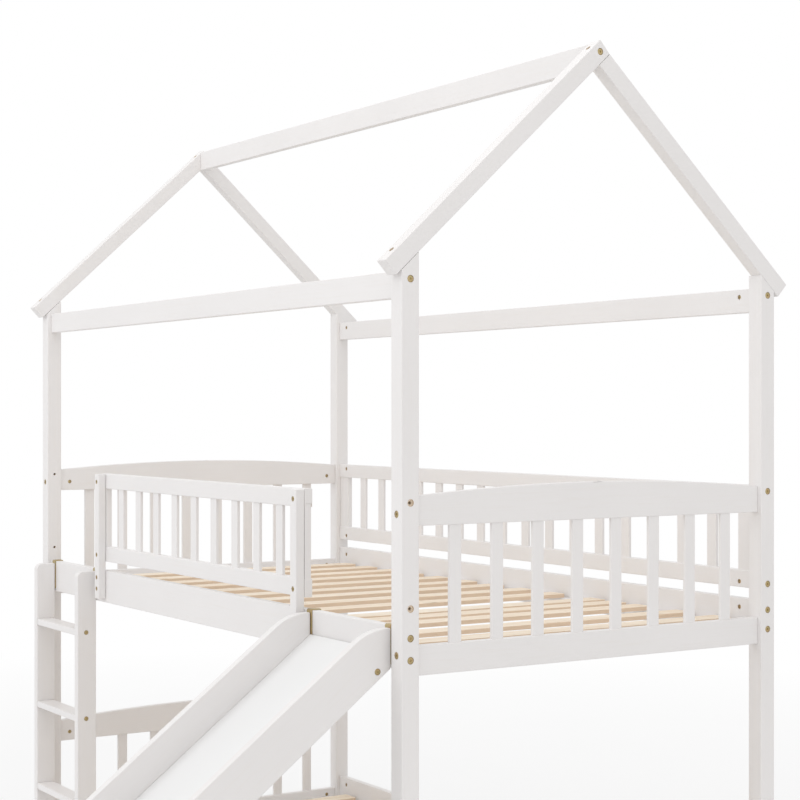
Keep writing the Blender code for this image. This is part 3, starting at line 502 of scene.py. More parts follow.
HOLES = {}


def plan_hole(node, bit, start, direction, *sizes):
    """Note a hole that is cut when the board of a node is made."""
    HOLES.setdefault(node, []).append((bit, aimed(start, direction), sizes))


def cut_planned(piece, node):
    """Cut the holes that were planned for a node."""
    cutters = [put(bit(f"{node}_bit_{number}", *sizes), place)
               for number, (bit, place, sizes) in enumerate(HOLES.get(node, []))]
    if cutters:
        cut_with(piece, cutters)
    return piece


def housings(node, rows):
    """Blocks a little larger than the ends that are let into a board, to cut their housings."""
    grow = Vector((FIT_GAP, FIT_GAP, FIT_GAP))
    return [block(f"{node}_housing_{number}", Vector(low) - grow, Vector(high) + grow)
            for number, (low, high) in enumerate(rows)]


def top_housings(node, rows):
    """Housings for the tops of uprights, open at the underside of the board above them."""
    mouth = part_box(node)[0].z - OVERRUN
    return housings(node, [((low[0], low[1], mouth), high) for low, high in rows])


# Finishes

class Nodes:
    """Short hand for building the nodes of a material or of the world."""

    def __init__(self, owner):
        owner.use_nodes = True
        self.tree = owner.node_tree

    def plug(self, socket, value):
        """Link what comes from a node to a socket, or set a plain value on it."""
        if isinstance(value, bpy.types.NodeSocket):
            self.tree.links.new(value, socket)
        else:
            socket.default_value = value

    def add(self, kind, inputs=None, **choices):
        node = self.tree.nodes.new(kind)
        for choice, value in choices.items():
            setattr(node, choice, value)
        for socket, value in (inputs or {}).items():
            self.plug(node.inputs[socket], value)
        return node

    def placed(self, turn=(0, 0, 0), scale=(1, 1, 1)):
        """Object coordinates, turned and then stretched."""
        spot = self.add("ShaderNodeTexCoord").outputs["Object"]
        turned = self.add("ShaderNodeMapping", {"Vector": spot, "Rotation": turn})
        return self.add("ShaderNodeMapping", {"Vector": turned.outputs[0], "Scale": scale}).outputs[0]

    def noise(self, spot, scale, detail, roughness=0.5, distortion=0.0):
        inputs = {"Vector": spot, "Scale": scale, "Detail": detail, "Roughness": roughness,
                  "Distortion": distortion}
        return self.add("ShaderNodeTexNoise", inputs).outputs["Fac"]

    def span(self, value, low, high, new_low, new_high):
        inputs = {"Value": value, "From Min": low, "From Max": high, "To Min": new_low, "To Max": new_high}
        return self.add("ShaderNodeMapRange", inputs).outputs[0]

    def work_out(self, operation, first, second):
        return self.add("ShaderNodeMath", {0: first, 1: second}, operation=operation).outputs[0]

    def add_share(self, total, share, value):
        """A value's share on top of a total."""
        return self.work_out("ADD", total, self.work_out("MULTIPLY", value, share))

    def mix(self, share, first, second):
        return self.add("ShaderNodeMix", {0: share, 6: first, 7: second}, data_type="RGBA").outputs[2]

    def fade(self, value, low, high, share, first, second):
        """From one colour towards another, up to a share, while a value climbs from low to high."""
        return self.mix(self.span(value, low, high, 0, share), first, second)

    def bump(self, height, distance, strength):
        inputs = {"Height": height, "Distance": distance, "Strength": strength}
        return self.add("ShaderNodeBump", inputs).outputs[0]

    def coat(self, **sockets):
        """Set the sockets of the material's own shader."""
        shader = self.tree.nodes["Principled BSDF"]
        for socket, value in sockets.items():
            self.plug(shader.inputs[socket.replace("_", " ")], value)
        return shader

    def show_both(self, share, first, second, output):
        """Send two mixed shaders to the output."""
        both = self.add("ShaderNodeMixShader", {0: share, 1: first.outputs[0], 2: second.outputs[0]})
        self.plug(self.tree.nodes[output].inputs["Surface"], both.outputs[0])


def made_once(recipe):
    """Make a finish when it is first asked for, and give the same material after that."""

    def give(*direction):
        name = "_".join((recipe.__name__, *direction))
        if name not in bpy.data.materials:
            recipe(Nodes(bpy.data.materials.new(name)), *direction)
        return bpy.data.materials[name]

    return give


def tinted(colour, *shares):
    """A colour with each channel times its own share, for a socket."""
    return (*[channel * share for channel, share in zip(colour, shares)], 1.0)


def toned(colour, share=1.0):
    return tinted(colour, share, share, share)


GRAIN_TURNS = {
    "along_x": (0, QUARTER, 0),
    "along_y": (QUARTER, 0, 0),
    "along_z": (0, 0, 0),
    "front_roof": (QUARTER - ROOF_PITCH, 0, 0),
    "back_roof": (ROOF_PITCH - QUARTER, 0, 0),
    "down_slide": (QUARTER - SLIDE_PITCH, 0, 0),
}


@made_once
def white_paint(nodes, direction):
    """Satin paint rolled on pine: the grain, which runs in one direction, shows faintly through it."""
    paint = bpy.context.scene.house_bed_paint
    colour = paint.colour
    spot = nodes.placed()
    grain_spot = nodes.placed(GRAIN_TURNS[direction], (1, 1, 0.045))
    grain = nodes.noise(grain_spot, 210, 4, 0.55, 0.4)
    fine_grain = nodes.noise(grain_spot, 720, 2)
    cloud = nodes.noise(spot, 3.2, 3)
    roller = nodes.noise(spot, 420, 2, 0.6)
    warm = tinted(colour, 0.975, 0.958, 0.935)
    tone = nodes.fade(cloud, 0.3, 0.7, 1, toned(colour, 0.985), toned(colour, 1.015))
    tone = nodes.fade(grain, 0.52, 0.78, 0.45, tone, warm)
    rounded = nodes.add("ShaderNodeBevel", {"Radius": 0.003}, samples=6).outputs[0]
    flat = nodes.add("ShaderNodeNewGeometry").outputs["Normal"]
    facing = nodes.add("ShaderNodeVectorMath", {0: rounded, 1: flat}, operation="DOT_PRODUCT").outputs[1]
    edge = nodes.span(facing, 0.985, 0.90, 0, 0.35)
    tone = nodes.mix(nodes.work_out("MULTIPLY", edge, grain), tone, warm)
    shine = nodes.span(roller, 0.3, 0.7, paint.roughness - 0.05, paint.roughness + 0.05)
    height = nodes.add_share(nodes.work_out("MULTIPLY", grain, 0.7), 0.25, fine_grain)
    height = nodes.add_share(height, 0.30, roller)
    nodes.coat(Base_Color=tone, Roughness=shine, Normal=nodes.bump(height, paint.grain, 0.6))


@made_once
def slide_coating(nodes):
    """Smooth hard coating of the slide bed, faintly scuffed down its run."""
    colour = bpy.context.scene.house_bed_paint.slide_colour
    spot = nodes.placed()
    cloud = nodes.noise(spot, 2.5, 2)
    scuff = nodes.noise(nodes.placed(GRAIN_TURNS["down_slide"], (1, 1, 0.02)), 260, 3, 0.7)
    tone = nodes.fade(cloud, 0.3, 0.7, 1, toned(colour, 0.99), toned(colour, 1.01))
    tone = nodes.fade(scuff, 0.62, 0.80, 0.10, tone, toned(colour, 0.965))
    shine = nodes.span(scuff, 0.35, 0.75, 0.31, 0.34)
    normal = nodes.bump(nodes.noise(spot, 90, 2, 0.4), 0.00015, 0.35)
    nodes.coat(Base_Color=tone, Roughness=shine, Normal=normal)


@made_once
def bare_pine(nodes, direction):
    """Planed bare pine: rings along the board, streaks, sparse knots and a tone of its own for each slat."""
    pine = bpy.context.scene.house_bed_pine
    turn = GRAIN_TURNS[direction]
    long_spot = nodes.placed(turn, (1, 1, 0.06))
    wander = nodes.noise(nodes.placed(turn, (1, 1, 0.18)), 14, 2)
    rings = nodes.noise(long_spot, 95, 3, 0.55, 0.8)
    streaks = nodes.noise(long_spot, 420, 3, 0.6)
    band = nodes.add_share(rings, 0.25, wander)
    colour = nodes.fade(band, 0.50, 0.78, 0.70, toned(pine.light), toned(pine.dark))
    colour = nodes.fade(streaks, 0.45, 0.75, 0.18, colour, toned(pine.dark, 0.9))
    across = nodes.add("ShaderNodeSeparateXYZ", {0: nodes.placed()}).outputs[0]
    slat_place = nodes.work_out("FLOOR", nodes.work_out("MULTIPLY", across, 11.0), 0.0)
    own = nodes.add("ShaderNodeTexWhiteNoise", {"W": slat_place}, noise_dimensions="1D").outputs[0]
    colour = nodes.fade(own, 0, 1, 0.25, colour, toned(pine.dark, 1.15))
    knot_spot = nodes.placed(turn, (1, 1, 0.55))
    cell = nodes.add("ShaderNodeTexVoronoi", {"Vector": knot_spot, "Scale": 7.0, "Randomness": 1.0})
    heart = nodes.span(cell.outputs["Distance"], 0.030, 0.065, 1, 0)
    halo = nodes.span(cell.outputs["Distance"], 0.05, 0.16, 0.45, 0)
    colour = nodes.mix(halo, colour, toned(pine.dark, 0.72))
    colour = nodes.mix(heart, colour, toned(pine.knot))
    shine = nodes.span(streaks, 0.3, 0.7, 0.52, 0.68)
    normal = nodes.bump(nodes.add_share(streaks, 0.6, rings), 0.0004, 0.5)
    nodes.coat(Base_Color=colour, Roughness=shine, Normal=normal)


@made_once
def sawn_pine(nodes, direction):
    """The slats' narrow sides, left as the saw cut them: duller, with fine fibres along the slat, and darker
    still with painted shade, for sides that stand in the shade between the slats.
    """
    sawn = bpy.context.scene.house_bed_pine.sawn
    fibre_spot = nodes.placed(GRAIN_TURNS[direction], (1, 1, 0.05))
    fibre = nodes.noise(fibre_spot, 300, 4, 0.65)
    patch = nodes.noise(fibre_spot, 40, 2)
    colour = nodes.fade(fibre, 0.35, 0.7, 0.8, toned(sawn), toned(sawn, 0.86))
    colour = nodes.fade(patch, 0.4, 0.7, 0.5, colour, toned(sawn, 1.10))
    nodes.coat(Base_Color=colour, Roughness=0.8, Normal=nodes.bump(fibre, 0.0006, 0.6))


@made_once
def drilled_pine(nodes):
    """Raw wood in holes that were drilled after painting."""
    pine = bpy.context.scene.house_bed_pine
    fibre = nodes.noise(nodes.placed(), 900, 4, 0.7)
    colour = nodes.fade(fibre, 0.3, 0.7, 1, toned(pine.dark, 0.9), toned(pine.light, 0.8))
    nodes.coat(Base_Color=colour, Roughness=0.85, Normal=nodes.bump(fibre, 0.0006, 0.8))


@made_once
def yellow_zinc(nodes):
    """Yellow passivated zinc with the faint green and pink clouds of its film, and fine turning marks."""
    colour = bpy.context.scene.house_bed_hardware.colour
    spot = nodes.placed()
    film = nodes.noise(spot, 160, 3, 0.6, 0.6)
    grit = nodes.noise(spot, 2600, 2, 0.6)
    green = tinted(colour, 0.80, 1.02, 0.95)
    pink = tinted(colour, 1.12, 0.92, 1.05)
    tone = nodes.mix(0.55, nodes.fade(film, 0.35, 0.65, 1, green, pink), toned(colour))
    shine = nodes.span(grit, 0.3, 0.7, 0.30, 0.46)
    nodes.coat(Base_Color=tone, Roughness=shine, Metallic=1.0, Normal=nodes.bump(grit, 0.00008, 0.5))


@made_once
def studio_floor(nodes):
    """Pale floor that the camera sees almost white, with the bed's soft shadow on it."""
    colour = bpy.context.scene.house_bed_studio.floor
    spot = nodes.placed()
    tone = nodes.fade(nodes.noise(spot, 2.0, 2), 0.3, 0.7, 1, toned(colour, 0.99), toned(colour, 1.01))
    shader = nodes.coat(Base_Color=tone, Roughness=0.9)
    glow = nodes.add("ShaderNodeEmission", {"Color": WHITE, "Strength": 1.0})
    camera_ray = nodes.add("ShaderNodeLightPath").outputs["Is Camera Ray"]
    away = nodes.add("ShaderNodeVectorMath", {0: spot}, operation="LENGTH").outputs[1]
    seen = nodes.work_out("MULTIPLY", camera_ray, nodes.span(away, 2.0, 6.0, 0.60, 1.0))
    nodes.show_both(seen, shader, glow, "Material Output")


def finish(piece, name, finishes, body, nodes=()):
    """Smooth, paint and hand a piece over: it rides on its body and stands for its solids."""
    take(piece)
    piece.name = piece.data.name = name
    bpy.ops.object.shade_smooth_by_angle(angle=SHARP_ANGLE)
    apply(piece, "WEIGHTED_NORMAL", keep_sharp=True, mode="FACE_AREA_WITH_ANGLE")
    open_places(piece, len(finishes))
    for index, material in enumerate(finishes):
        piece.data.materials[index] = material
    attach(piece, body)
    if nodes:
        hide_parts(*nodes)
    return piece


def finish_board(piece, node, direction, uprights=None, body="bed_frame", name=None):
    """Drill a board as planned and paint it."""
    finishes = [white_paint(direction), drilled_pine(), white_paint(uprights or direction)]
    cut_planned(piece, node)
    return finish(piece, name or node + "_board", finishes, body, [node])


def finish_metal(piece, name, body, nodes=(), finishes=1):
    return finish(piece, name, [yellow_zinc()] * finishes, body, nodes)


def edge_radius():
    return bpy.context.scene.house_bed_paint.edge_radius


def board(node, direction, ends=None, cuts=(), butts=(), cutters=(), body="bed_frame"):
    """A board of a node's size, sawn, rounded, cut and painted. Its two ends across an axis, or else the
    faces in butts, lie against other pieces."""
    low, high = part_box(node)
    piece = block(node + "_board", low, high)
    if cuts:
        saw(piece, cuts)
    round_edges(piece, edge_radius(), [(low, ends), (high, ends)] if ends else butts)
    if cutters:
        cut_with(piece, cutters)
    return finish_board(piece, node, direction, body=body)


# Places

def rafter_underside(face):
    """Foot of a rafter's underside over the post's outer face, the way up its slope and its normal."""
    sign = FACES[face]
    height = EAVE_HEIGHT - (BACK_EAVE_DROP if face == "back" else 0)
    foot = Vector((0, MIDDLE_Y + sign * HALF_WIDTH, height))
    up_slope = Vector((0, -sign * math.cos(ROOF_PITCH), math.sin(ROOF_PITCH)))
    normal = Vector((0, sign * math.sin(ROOF_PITCH), math.cos(ROOF_PITCH)))
    return foot, up_slope, normal


def apex_corner():
    """Where the underside of the front rafters meets the top of the back ones."""
    rise = RAFTER_DEPTH / math.cos(ROOF_PITCH) - BACK_EAVE_DROP
    y = rise / (2 * math.tan(ROOF_PITCH))
    return Vector((0, MIDDLE_Y + y, EAVE_HEIGHT + math.tan(ROOF_PITCH) * (y + HALF_WIDTH)))


def slide_line(drop):
    """Height at y = 0 of the sloped line that lies drop below the top edge of the slide's sides."""
    shoulder_y = HOOKED_BACK_Y - SLIDE_SHOULDER
    return SLIDE_TOP - math.tan(SLIDE_PITCH) * shoulder_y - drop / math.cos(SLIDE_PITCH)


SLIDE_UP = Vector((0, -math.sin(SLIDE_PITCH), math.cos(SLIDE_PITCH)))


def round_cuts(centre_y, centre_z, radius, start, end, steps):
    """Cuts that plane a corner round, from one direction in the YZ plane to another."""
    cuts = []
    for step in range(steps + 1):
        turn = start + (end - start) * step / steps
        outward = Vector((0, math.cos(turn), math.sin(turn)))
        cuts.append((Vector((0, centre_y, centre_z)) + outward * radius, outward))
    return cuts


def end_baluster_rows(node, arch):
    """Low and high corners of the balusters of one end frame, with the stubs in their housings."""
    low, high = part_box(node)
    depth, width = END_BALUSTER_SIZE
    reach = (high.y - low.y) / 2 + FIT_GAP - END_BALUSTER_FIRST_GAP - width / 2
    inset = BALUSTER_SETBACK + depth / 2
    middle_x = high.x - inset if high.x > 0 else low.x + inset
    foot = low.z + END_RAIL_HEIGHT - HOUSING_DEPTH
    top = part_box(arch)[0].z + HOUSING_DEPTH - FIT_GAP
    rows = []
    for index in range(END_BALUSTER_COUNT):
        middle_y = MIDDLE_Y + reach * (2 * index / (END_BALUSTER_COUNT - 1) - 1)
        rows.append((Vector((middle_x - depth / 2, middle_y - width / 2, foot)),
                     Vector((middle_x + depth / 2, middle_y + width / 2, top))))
    return rows


def guard_rows(face):
    """Low and high corners of a guard's two stiles and balusters, with the stubs in their housings."""
    low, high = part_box(f"{face}_guard_balusters")
    stile, count, near = GUARDS[face]
    width, depth = GUARD_BALUSTER_SIZE
    inset = 0 if face == "back" else FIT_GAP
    low_x = low.x + inset + stile
    high_x = high.x - inset - stile
    step = (high_x - low_x + width) / (count + 1)
    far = BALUSTER_SETBACK + GUARD_STILE_DEPTH
    members = [(low_x - stile / 2, stile, near, far), (high_x + stile / 2, stile, near, far)]
    for index in range(count):
        middle = (low_x + high_x) / 2 + step * (index - (count - 1) / 2)
        members.append((middle, width, BALUSTER_SETBACK, BALUSTER_SETBACK + depth))
    foot = low.z + GUARD_RAIL_HEIGHT - HOUSING_DEPTH
    return [((middle - width / 2, low.y + near, foot), (middle + width / 2, low.y + far, high.z))
            for middle, width, near, far in members]


def slat_lefts(bed):
    """X of the left edge of each slat of a bed."""
    first = -HALF_LENGTH + POST_SIDE + SLAT_FIRST_GAP
    step = (-2 * first - SLAT_WIDTH) / (SLAT_COUNT - 1)
    return [first + step * index + SLAT_SHIFT_SHARES.get((bed, index), 0) * SLAT_WIDTH
            for index in range(SLAT_COUNT)]


def middles(nodes, count):
    """Middles of the numbered solids of one kind."""
    return [sum(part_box(f"{nodes}_{number + 1}"), Vector()) / 2 for number in range(count)]


def guard_heights():
    """Heights of the two bolts at each end of the back guard."""
    return (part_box("back_guard_balusters")[0].z + GUARD_BOLT_EDGE,
            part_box("back_guard_top_rail")[1].z - GUARD_BOLT_EDGE)


def bolts_across():
    """Bolts through the X faces of the posts: board, its face, the bolt's name, height and solid."""
    rows = []
    for bed in BEDS:
        for face in FACES:
            rail = f"{bed}_side_rail_{face}"
            low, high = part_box(rail)
            for place, sign in (("low", -1), ("high", 1)):
                height = (low.z + high.z) / 2 + sign * SIDE_RAIL_BOLT_SPACING / 2
                solid_name = f"rail_bolt_{place}" if bed == "upper" else None
                rows.append((rail, face, f"{bed}_rail_bolt_{place}", height, solid_name))
    for face in FACES:
        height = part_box(f"eave_beam_{face}")[0].z + EAVE_BOLT_RISE
        rows.append((f"eave_beam_{face}", face, "eave_beam_bolt", height, "eave_bolt"))
    low, high = guard_heights()
    rows.append(("back_guard_balusters", "back", "guard_bolt_low", low, None))
    rows.append(("back_guard_top_rail", "back", "guard_bolt_high", high, None))
    return rows


def post_middle_y(face):
    return MIDDLE_Y + FACES[face] * (HALF_WIDTH - POST_SIDE / 2)


def roof_screws():
    """Long screws of the roof: rafter, the screw's name, place of its head's recess and its direction."""
    rows = []
    for side, sign in SIDES.items():
        across = X_AXIS * sign * (HALF_LENGTH - RAFTER_WIDTH / 2)
        for face in FACES:
            foot, up_slope, normal = rafter_underside(face)
            start = foot + up_slope * EAVE_SCREW_INSET + normal * RAFTER_DEPTH
            rows.append((f"rafter_{face}_{side}", f"eave_screw_{face}_{side}", start + across, -normal))
        up_slope, normal = rafter_underside("front")[1:]
        start = apex_corner() - up_slope * APEX_SCREW_INSET + normal * RAFTER_DEPTH
        rows.append((f"rafter_front_{side}", f"apex_screw_{side}", start + across, -normal))
    return rows


def strap_places():
    """The four hook straps: solid, body that it rides on, and where its screws start on its inner face."""
    rows = []
    for owner, member in (("ladder", "stile"), ("slide", "side")):
        for side, sign in SIDES.items():
            node = f"{owner}_hook_{member}_{side}"
            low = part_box(node)[0]
            board_low, board_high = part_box(f"{owner}_{member}_{side}")
            x = board_low.x + STRAP_SCREW_EDGE if sign < 0 else board_high.x - STRAP_SCREW_EDGE
            starts = [Vector((x, low.y + STRAP_THICKNESS, low.z + rise)) for rise in STRAP_SCREW_RISES]
            rows.append((node, owner, starts))
    return rows


# Bolts and nuts that are planned with their holes, and made after the boards
BOLTS = []
NUTS = []


def plan_bolt(name, wood, start, direction, length, body="bed_frame", solids=(), depth=POST_SIDE, share=1):
    """Plan a recessed bolt, and the hole for it in the first piece that it passes through. Its head and
    recess are the given share of the common width."""
    plan_hole(wood, step_bit, start, direction, RECESS_RADIUS * share, RECESS_DEPTH, BORE_RADIUS,
              depth + OVERRUN)
    BOLTS.append((name, start, direction, length, body, solids, share))


def plan_nut(name, wood, start, direction, reach, side):
    """Plan a barrel nut across a board, and the hole for it."""
    centre = start + direction * reach
    mouth = centre + side * BOARD_THICKNESS / 2
    depth = BOARD_THICKNESS / 2 + NUT_LENGTH / 2 + FIT_GAP
    plan_hole(wood, drill_bit, mouth, -side, NUT_HOLE_RADIUS, depth)
    NUTS.append((name, centre + side * NUT_LENGTH / 2, -side))


def plan_frame_bolts():
    """Every long bolt of the knock-down frame, with its nut."""
    for wood, face, bolt, height, solid_name in bolts_across():
        for side, sign in SIDES.items():
            start = Vector((sign * HALF_LENGTH, post_middle_y(face), height))
            name = f"{bolt}_{face}_{side}"
            solids = [f"{solid_name}_{face}_{side}"] if solid_name else []
            plan_bolt(name + "_long", f"post_{face}_{side}", start, -sign * X_AXIS, FRAME_BOLT_LENGTH,
                      solids=solids)
            plan_nut(name + "_nut", wood, start, -sign * X_AXIS, SIDE_NUT_REACH, -FACES[face] * Y_AXIS)
    for bed in BEDS:
        for side, side_sign in SIDES.items():
            x = side_sign * (HALF_LENGTH - POST_SIDE / 2)
            for part, place, rise in (("end_balusters", "low", END_RAIL_BOLT_RISE),
                                      ("arch_board", "high", ARCH_BOLT_RISE)):
                wood = f"{bed}_{side}_{part}"
                for face, sign in FACES.items():
                    start = Vector((x, MIDDLE_Y + sign * HALF_WIDTH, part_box(wood)[0].z + rise))
                    name = f"{bed}_end_bolt_{place}_{face}_{side}"
                    plan_bolt(name, f"post_{face}_{side}", start, -sign * Y_AXIS, FRAME_BOLT_LENGTH)
                    plan_nut(name + "_nut", wood, start, -sign * Y_AXIS, END_NUT_REACH,
                             -side_sign * X_AXIS)
    low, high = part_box("ridge_beam")
    for side, sign in SIDES.items():
        start = Vector((sign * HALF_LENGTH, (low.y + high.y) / 2, low.z + RIDGE_BOLT_RISE))
        name = f"ridge_beam_bolt_{side}"
        plan_bolt(name, f"rafter_front_{side}", start, -sign * X_AXIS, FRAME_BOLT_LENGTH,
                  solids=[f"ridge_bolt_{side}"], depth=RAFTER_WIDTH)
        plan_nut(name + "_nut", "ridge_beam", start, -sign * X_AXIS, SIDE_NUT_REACH, Y_AXIS)


def plan_spare_holes():
    """The front posts are drilled like the back ones, and their holes for a guard stay empty."""
    for side, sign in SIDES.items():
        for height in guard_heights():
            start = (sign * HALF_LENGTH, post_middle_y("front"), height)
            plan_hole(f"post_front_{side}", step_bit, start, -sign * X_AXIS, RECESS_RADIUS, RECESS_DEPTH,
                      BORE_RADIUS, POST_SIDE + OVERRUN)


def plan_light_bolts():
    """Shorter bolts: through the front guard's uprights, the ladder stiles and the slide sides."""
    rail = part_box("upper_side_rail_front")[0].z + UPRIGHT_RAIL_BOLT_RISE
    heights = (rail, rail + UPRIGHT_RAIL_BOLT_SPACING,
               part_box("front_guard_balusters")[0].z + UPRIGHT_GUARD_BOLT_RISE,
               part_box("front_guard_top_rail")[0].z + UPRIGHT_GUARD_BOLT_RISE)
    for side in SIDES:
        wood = f"front_guard_upright_{side}"
        low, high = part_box(wood)
        for number, height in enumerate(heights):
            start = Vector(((low.x + high.x) / 2, low.y, height))
            plan_bolt(f"upright_bolt_{number + 1}_{side}", wood, start, Y_AXIS, GUARD_BOLT_LENGTH,
                      depth=high.y - low.y, share=UPRIGHT_BOLT_SHARE)
    for owner, member, spots, share in (
            ("ladder", "stile", middles("ladder_rung", RUNG_COUNT), LADDER_BOLT_SHARE),
            ("slide", "side", middles("slide_cross_bar", SLIDE_BAR_COUNT), SLIDE_BOLT_SHARE)):
        for side, sign in SIDES.items():
            wood = f"{owner}_{member}_{side}"
            low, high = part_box(wood)
            outer = low.x if sign < 0 else high.x
            for number, spot in enumerate(spots):
                start = Vector((outer, spot.y, spot.z))
                plan_bolt(f"{owner}_bolt_{number + 1}_{side}", wood, start, -sign * X_AXIS,
                          RUNG_BOLT_LENGTH, body=owner, depth=high.x - low.x, share=share)


# Pieces

class HOUSEBED_OT_joinery(bpy.types.Operator):
    """Mark out every bolt hole, nut hole and screw hole of the boards"""

    bl_idname = "house_bed.joinery"
    bl_label = "Mark out joinery"

    def execute(self, context):
        plan_frame_bolts()
        plan_spare_holes()
        plan_light_bolts()
        for rafter, _name, start, direction in roof_screws():
            plan_hole(rafter, drill_bit, start, direction, SCREW_RECESS_RADIUS, SCREW_RECESS_DEPTH)
        return {"FINISHED"}


class HOUSEBED_OT_posts(bpy.types.Operator):
    """Four square posts, sawn to the roof slope and drilled on two faces"""

    bl_idname = "house_bed.posts"
    bl_label = "Posts"

    def execute(self, context):
        for face, sign in FACES.items():
            normal = rafter_underside(face)[2]
            for side in SIDES:
                node = f"post_{face}_{side}"
                low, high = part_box(node)
                top_cut = (Vector((0, low.y if sign > 0 else high.y, high.z)), normal)
                board(node, "along_z", cuts=[top_cut], butts=[top_cut])
        return {"FINISHED"}


class HOUSEBED_OT_roof(bpy.types.Operator):
    """Rafters sawn to the pitch, the ridge beam and the two eave beams"""

    bl_idname = "house_bed.roof"
    bl_label = "Roof"

    def execute(self, context):
        front_normal = rafter_underside("front")[2]
        for face in FACES:
            foot, up_slope, normal = rafter_underside(face)
            top_cut = (apex_corner(), up_slope)
            if face == "back":
                top_cut = (apex_corner() - front_normal * FIT_GAP, front_normal)
            cuts = [(foot, -normal), (foot + normal * RAFTER_DEPTH, normal),
                    (foot - up_slope * RAFTER_OVERHANG, -up_slope), top_cut]
            for side in SIDES:
                board(f"rafter_{face}_{side}", f"{face}_roof", cuts=cuts,
                      butts=[top_cut] if face == "back" else ())
        for node in ("ridge_beam", "eave_beam_front", "eave_beam_back"):
            board(node, "along_x", ends=X_AXIS)
        return {"FINISHED"}


class HOUSEBED_OT_side_rails(bpy.types.Operator):
    """Deep side rails of both beds"""

    bl_idname = "house_bed.side_rails"
    bl_label = "Side rails"

    def execute(self, context):
        for bed in BEDS:
            for face in FACES:
                board(f"{bed}_side_rail_{face}", "along_x", ends=X_AXIS)
        return {"FINISHED"}


def comb(node, rail_height, rows, axis, direction):
    """A rail with uprights let into its top."""
    low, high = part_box(node)
    rail = plank(node + "_rail", low, Vector((high.x, high.y, low.z + rail_height)), axis, edge_radius())
    face_finish(rail, PAINTED)
    radius = edge_radius() * UPRIGHT_EASE_SHARE
    uprights = [plank(f"{node}_upright_{number + 1}", foot, top, Z_AXIS, radius)
                for number, (foot, top) in enumerate(rows)]
    row = join(uprights, node + "_uprights")
    face_finish(row, UPRIGHTS)
    work_with(rail, row, "UNION")
    return finish_board(rail, node, direction, uprights="along_z", name=node + "_and_rail")


class HOUSEBED_OT_end_frames(bpy.types.Operator):
    """Arched boards over rows of balusters, at both ends of both beds"""

    bl_idname = "house_bed.end_frames"
    bl_label = "End frames"

    def execute(self, context):
        for bed in BEDS:
            for side in SIDES:
                node = f"{bed}_{side}_end_balusters"
                arch = f"{bed}_{side}_arch_board"
                rows = end_baluster_rows(node, arch)
                comb(node, END_RAIL_HEIGHT, rows, Y_AXIS, "along_y")
                low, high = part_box(arch)
                half = (high.y - low.y) / 2
                radius = (half * half + ARCH_CROWN * ARCH_CROWN) / (2 * ARCH_CROWN)
                reach = math.asin(half / radius)
                centre_z = low.z + ARCH_BOARD_END_HEIGHT + ARCH_CROWN - radius
                cuts = round_cuts(MIDDLE_Y, centre_z, radius, QUARTER - reach, QUARTER + reach, ARCH_STEPS)
                board(arch, "along_y", ends=Y_AXIS, cuts=cuts, cutters=top_housings(arch, rows))
        return {"FINISHED"}


class HOUSEBED_OT_guards(bpy.types.Operator):
    """Back guard between the posts, and the shorter front guard on its two uprights"""

    bl_idname = "house_bed.guards"
    bl_label = "Guards"

    def execute(self, context):
        for face in GUARDS:
            top_rail = f"{face}_guard_top_rail"
            rows = guard_rows(face)
            comb(f"{face}_guard_balusters", GUARD_RAIL_HEIGHT, rows, X_AXIS, "along_x")
            board(top_rail, "along_x", ends=X_AXIS, cutters=top_housings(top_rail, rows))
        for side in SIDES:
            board(f"front_guard_upright_{side}", "along_z")
        return {"FINISHED"}


class HOUSEBED_OT_decks(bpy.types.Operator):
    """Ledgers, and the bare pine slats laid loose on them"""

    bl_idname = "house_bed.decks"
    bl_label = "Slatted decks"

    def execute(self, context):
        radius = context.scene.house_bed_pine.edge_radius
        slat_end = HALF_WIDTH - POST_SIDE / 2 - BOARD_THICKNESS / 2 - SLAT_END_GAP
        for bed in BEDS:
            node = f"{bed}_slats"
            low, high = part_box(node)
            slat_low = high.z - SLAT_THICKNESS
            ledger_top = min(low.z + LEDGER_SIDE, slat_low)
            for face, sign in FACES.items():
                outer = low.y if sign < 0 else high.y
                near, far = sorted((outer, outer - sign * LEDGER_SIDE))
                name = f"{bed}_ledger_{face}"
                ledger = plank(name, (low.x, near, low.z), (high.x, far, ledger_top), X_AXIS, edge_radius())
                finishes = [white_paint("along_x"), drilled_pine()]
                finish(ledger, name, finishes, "bed_frame", [node])
            finishes = [bare_pine("along_y"), sawn_pine("along_y")]
            for number, x in enumerate(slat_lefts(bed)):
                name = f"{bed}_slat_{number + 1}"
                slat = plank(name, (x, MIDDLE_Y - slat_end, slat_low),
                             (x + SLAT_WIDTH, MIDDLE_Y + slat_end, high.z), Y_AXIS, radius)
                open_places(slat, len(finishes))
                # Faces turned along X, the slats' narrow sides, take the sawn wood with its painted shade;
                # the others take planed pine.
                for side in slat.data.polygons:
                    side.material_index = int(abs(side.normal.x) > FACING_SIDEWAYS)
                finish(slat, name, finishes, "bed_frame", [node])
        return {"FINISHED"}


class HOUSEBED_OT_ladder(bpy.types.Operator):
    """Hook-on ladder: two stiles with a rounded front corner, and rungs let into them"""

    bl_idname = "house_bed.ladder"
    bl_label = "Ladder"

    def execute(self, context):
        rungs = [f"ladder_rung_{number + 1}" for number in range(RUNG_COUNT)]
        for side in SIDES:
            node = f"ladder_stile_{side}"
            low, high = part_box(node)
            cuts = round_cuts(low.y + LADDER_CORNER_RADIUS, high.z - LADDER_CORNER_RADIUS,
                              LADDER_CORNER_RADIUS, QUARTER, math.pi, CORNER_STEPS)[1:-1]
            board(node, "along_z", cuts=cuts, cutters=housings(node, [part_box(rung) for rung in rungs]),
                  body="ladder")
        for rung in rungs:
            board(rung, "along_x", ends=X_AXIS, body="ladder")
        return {"FINISHED"}


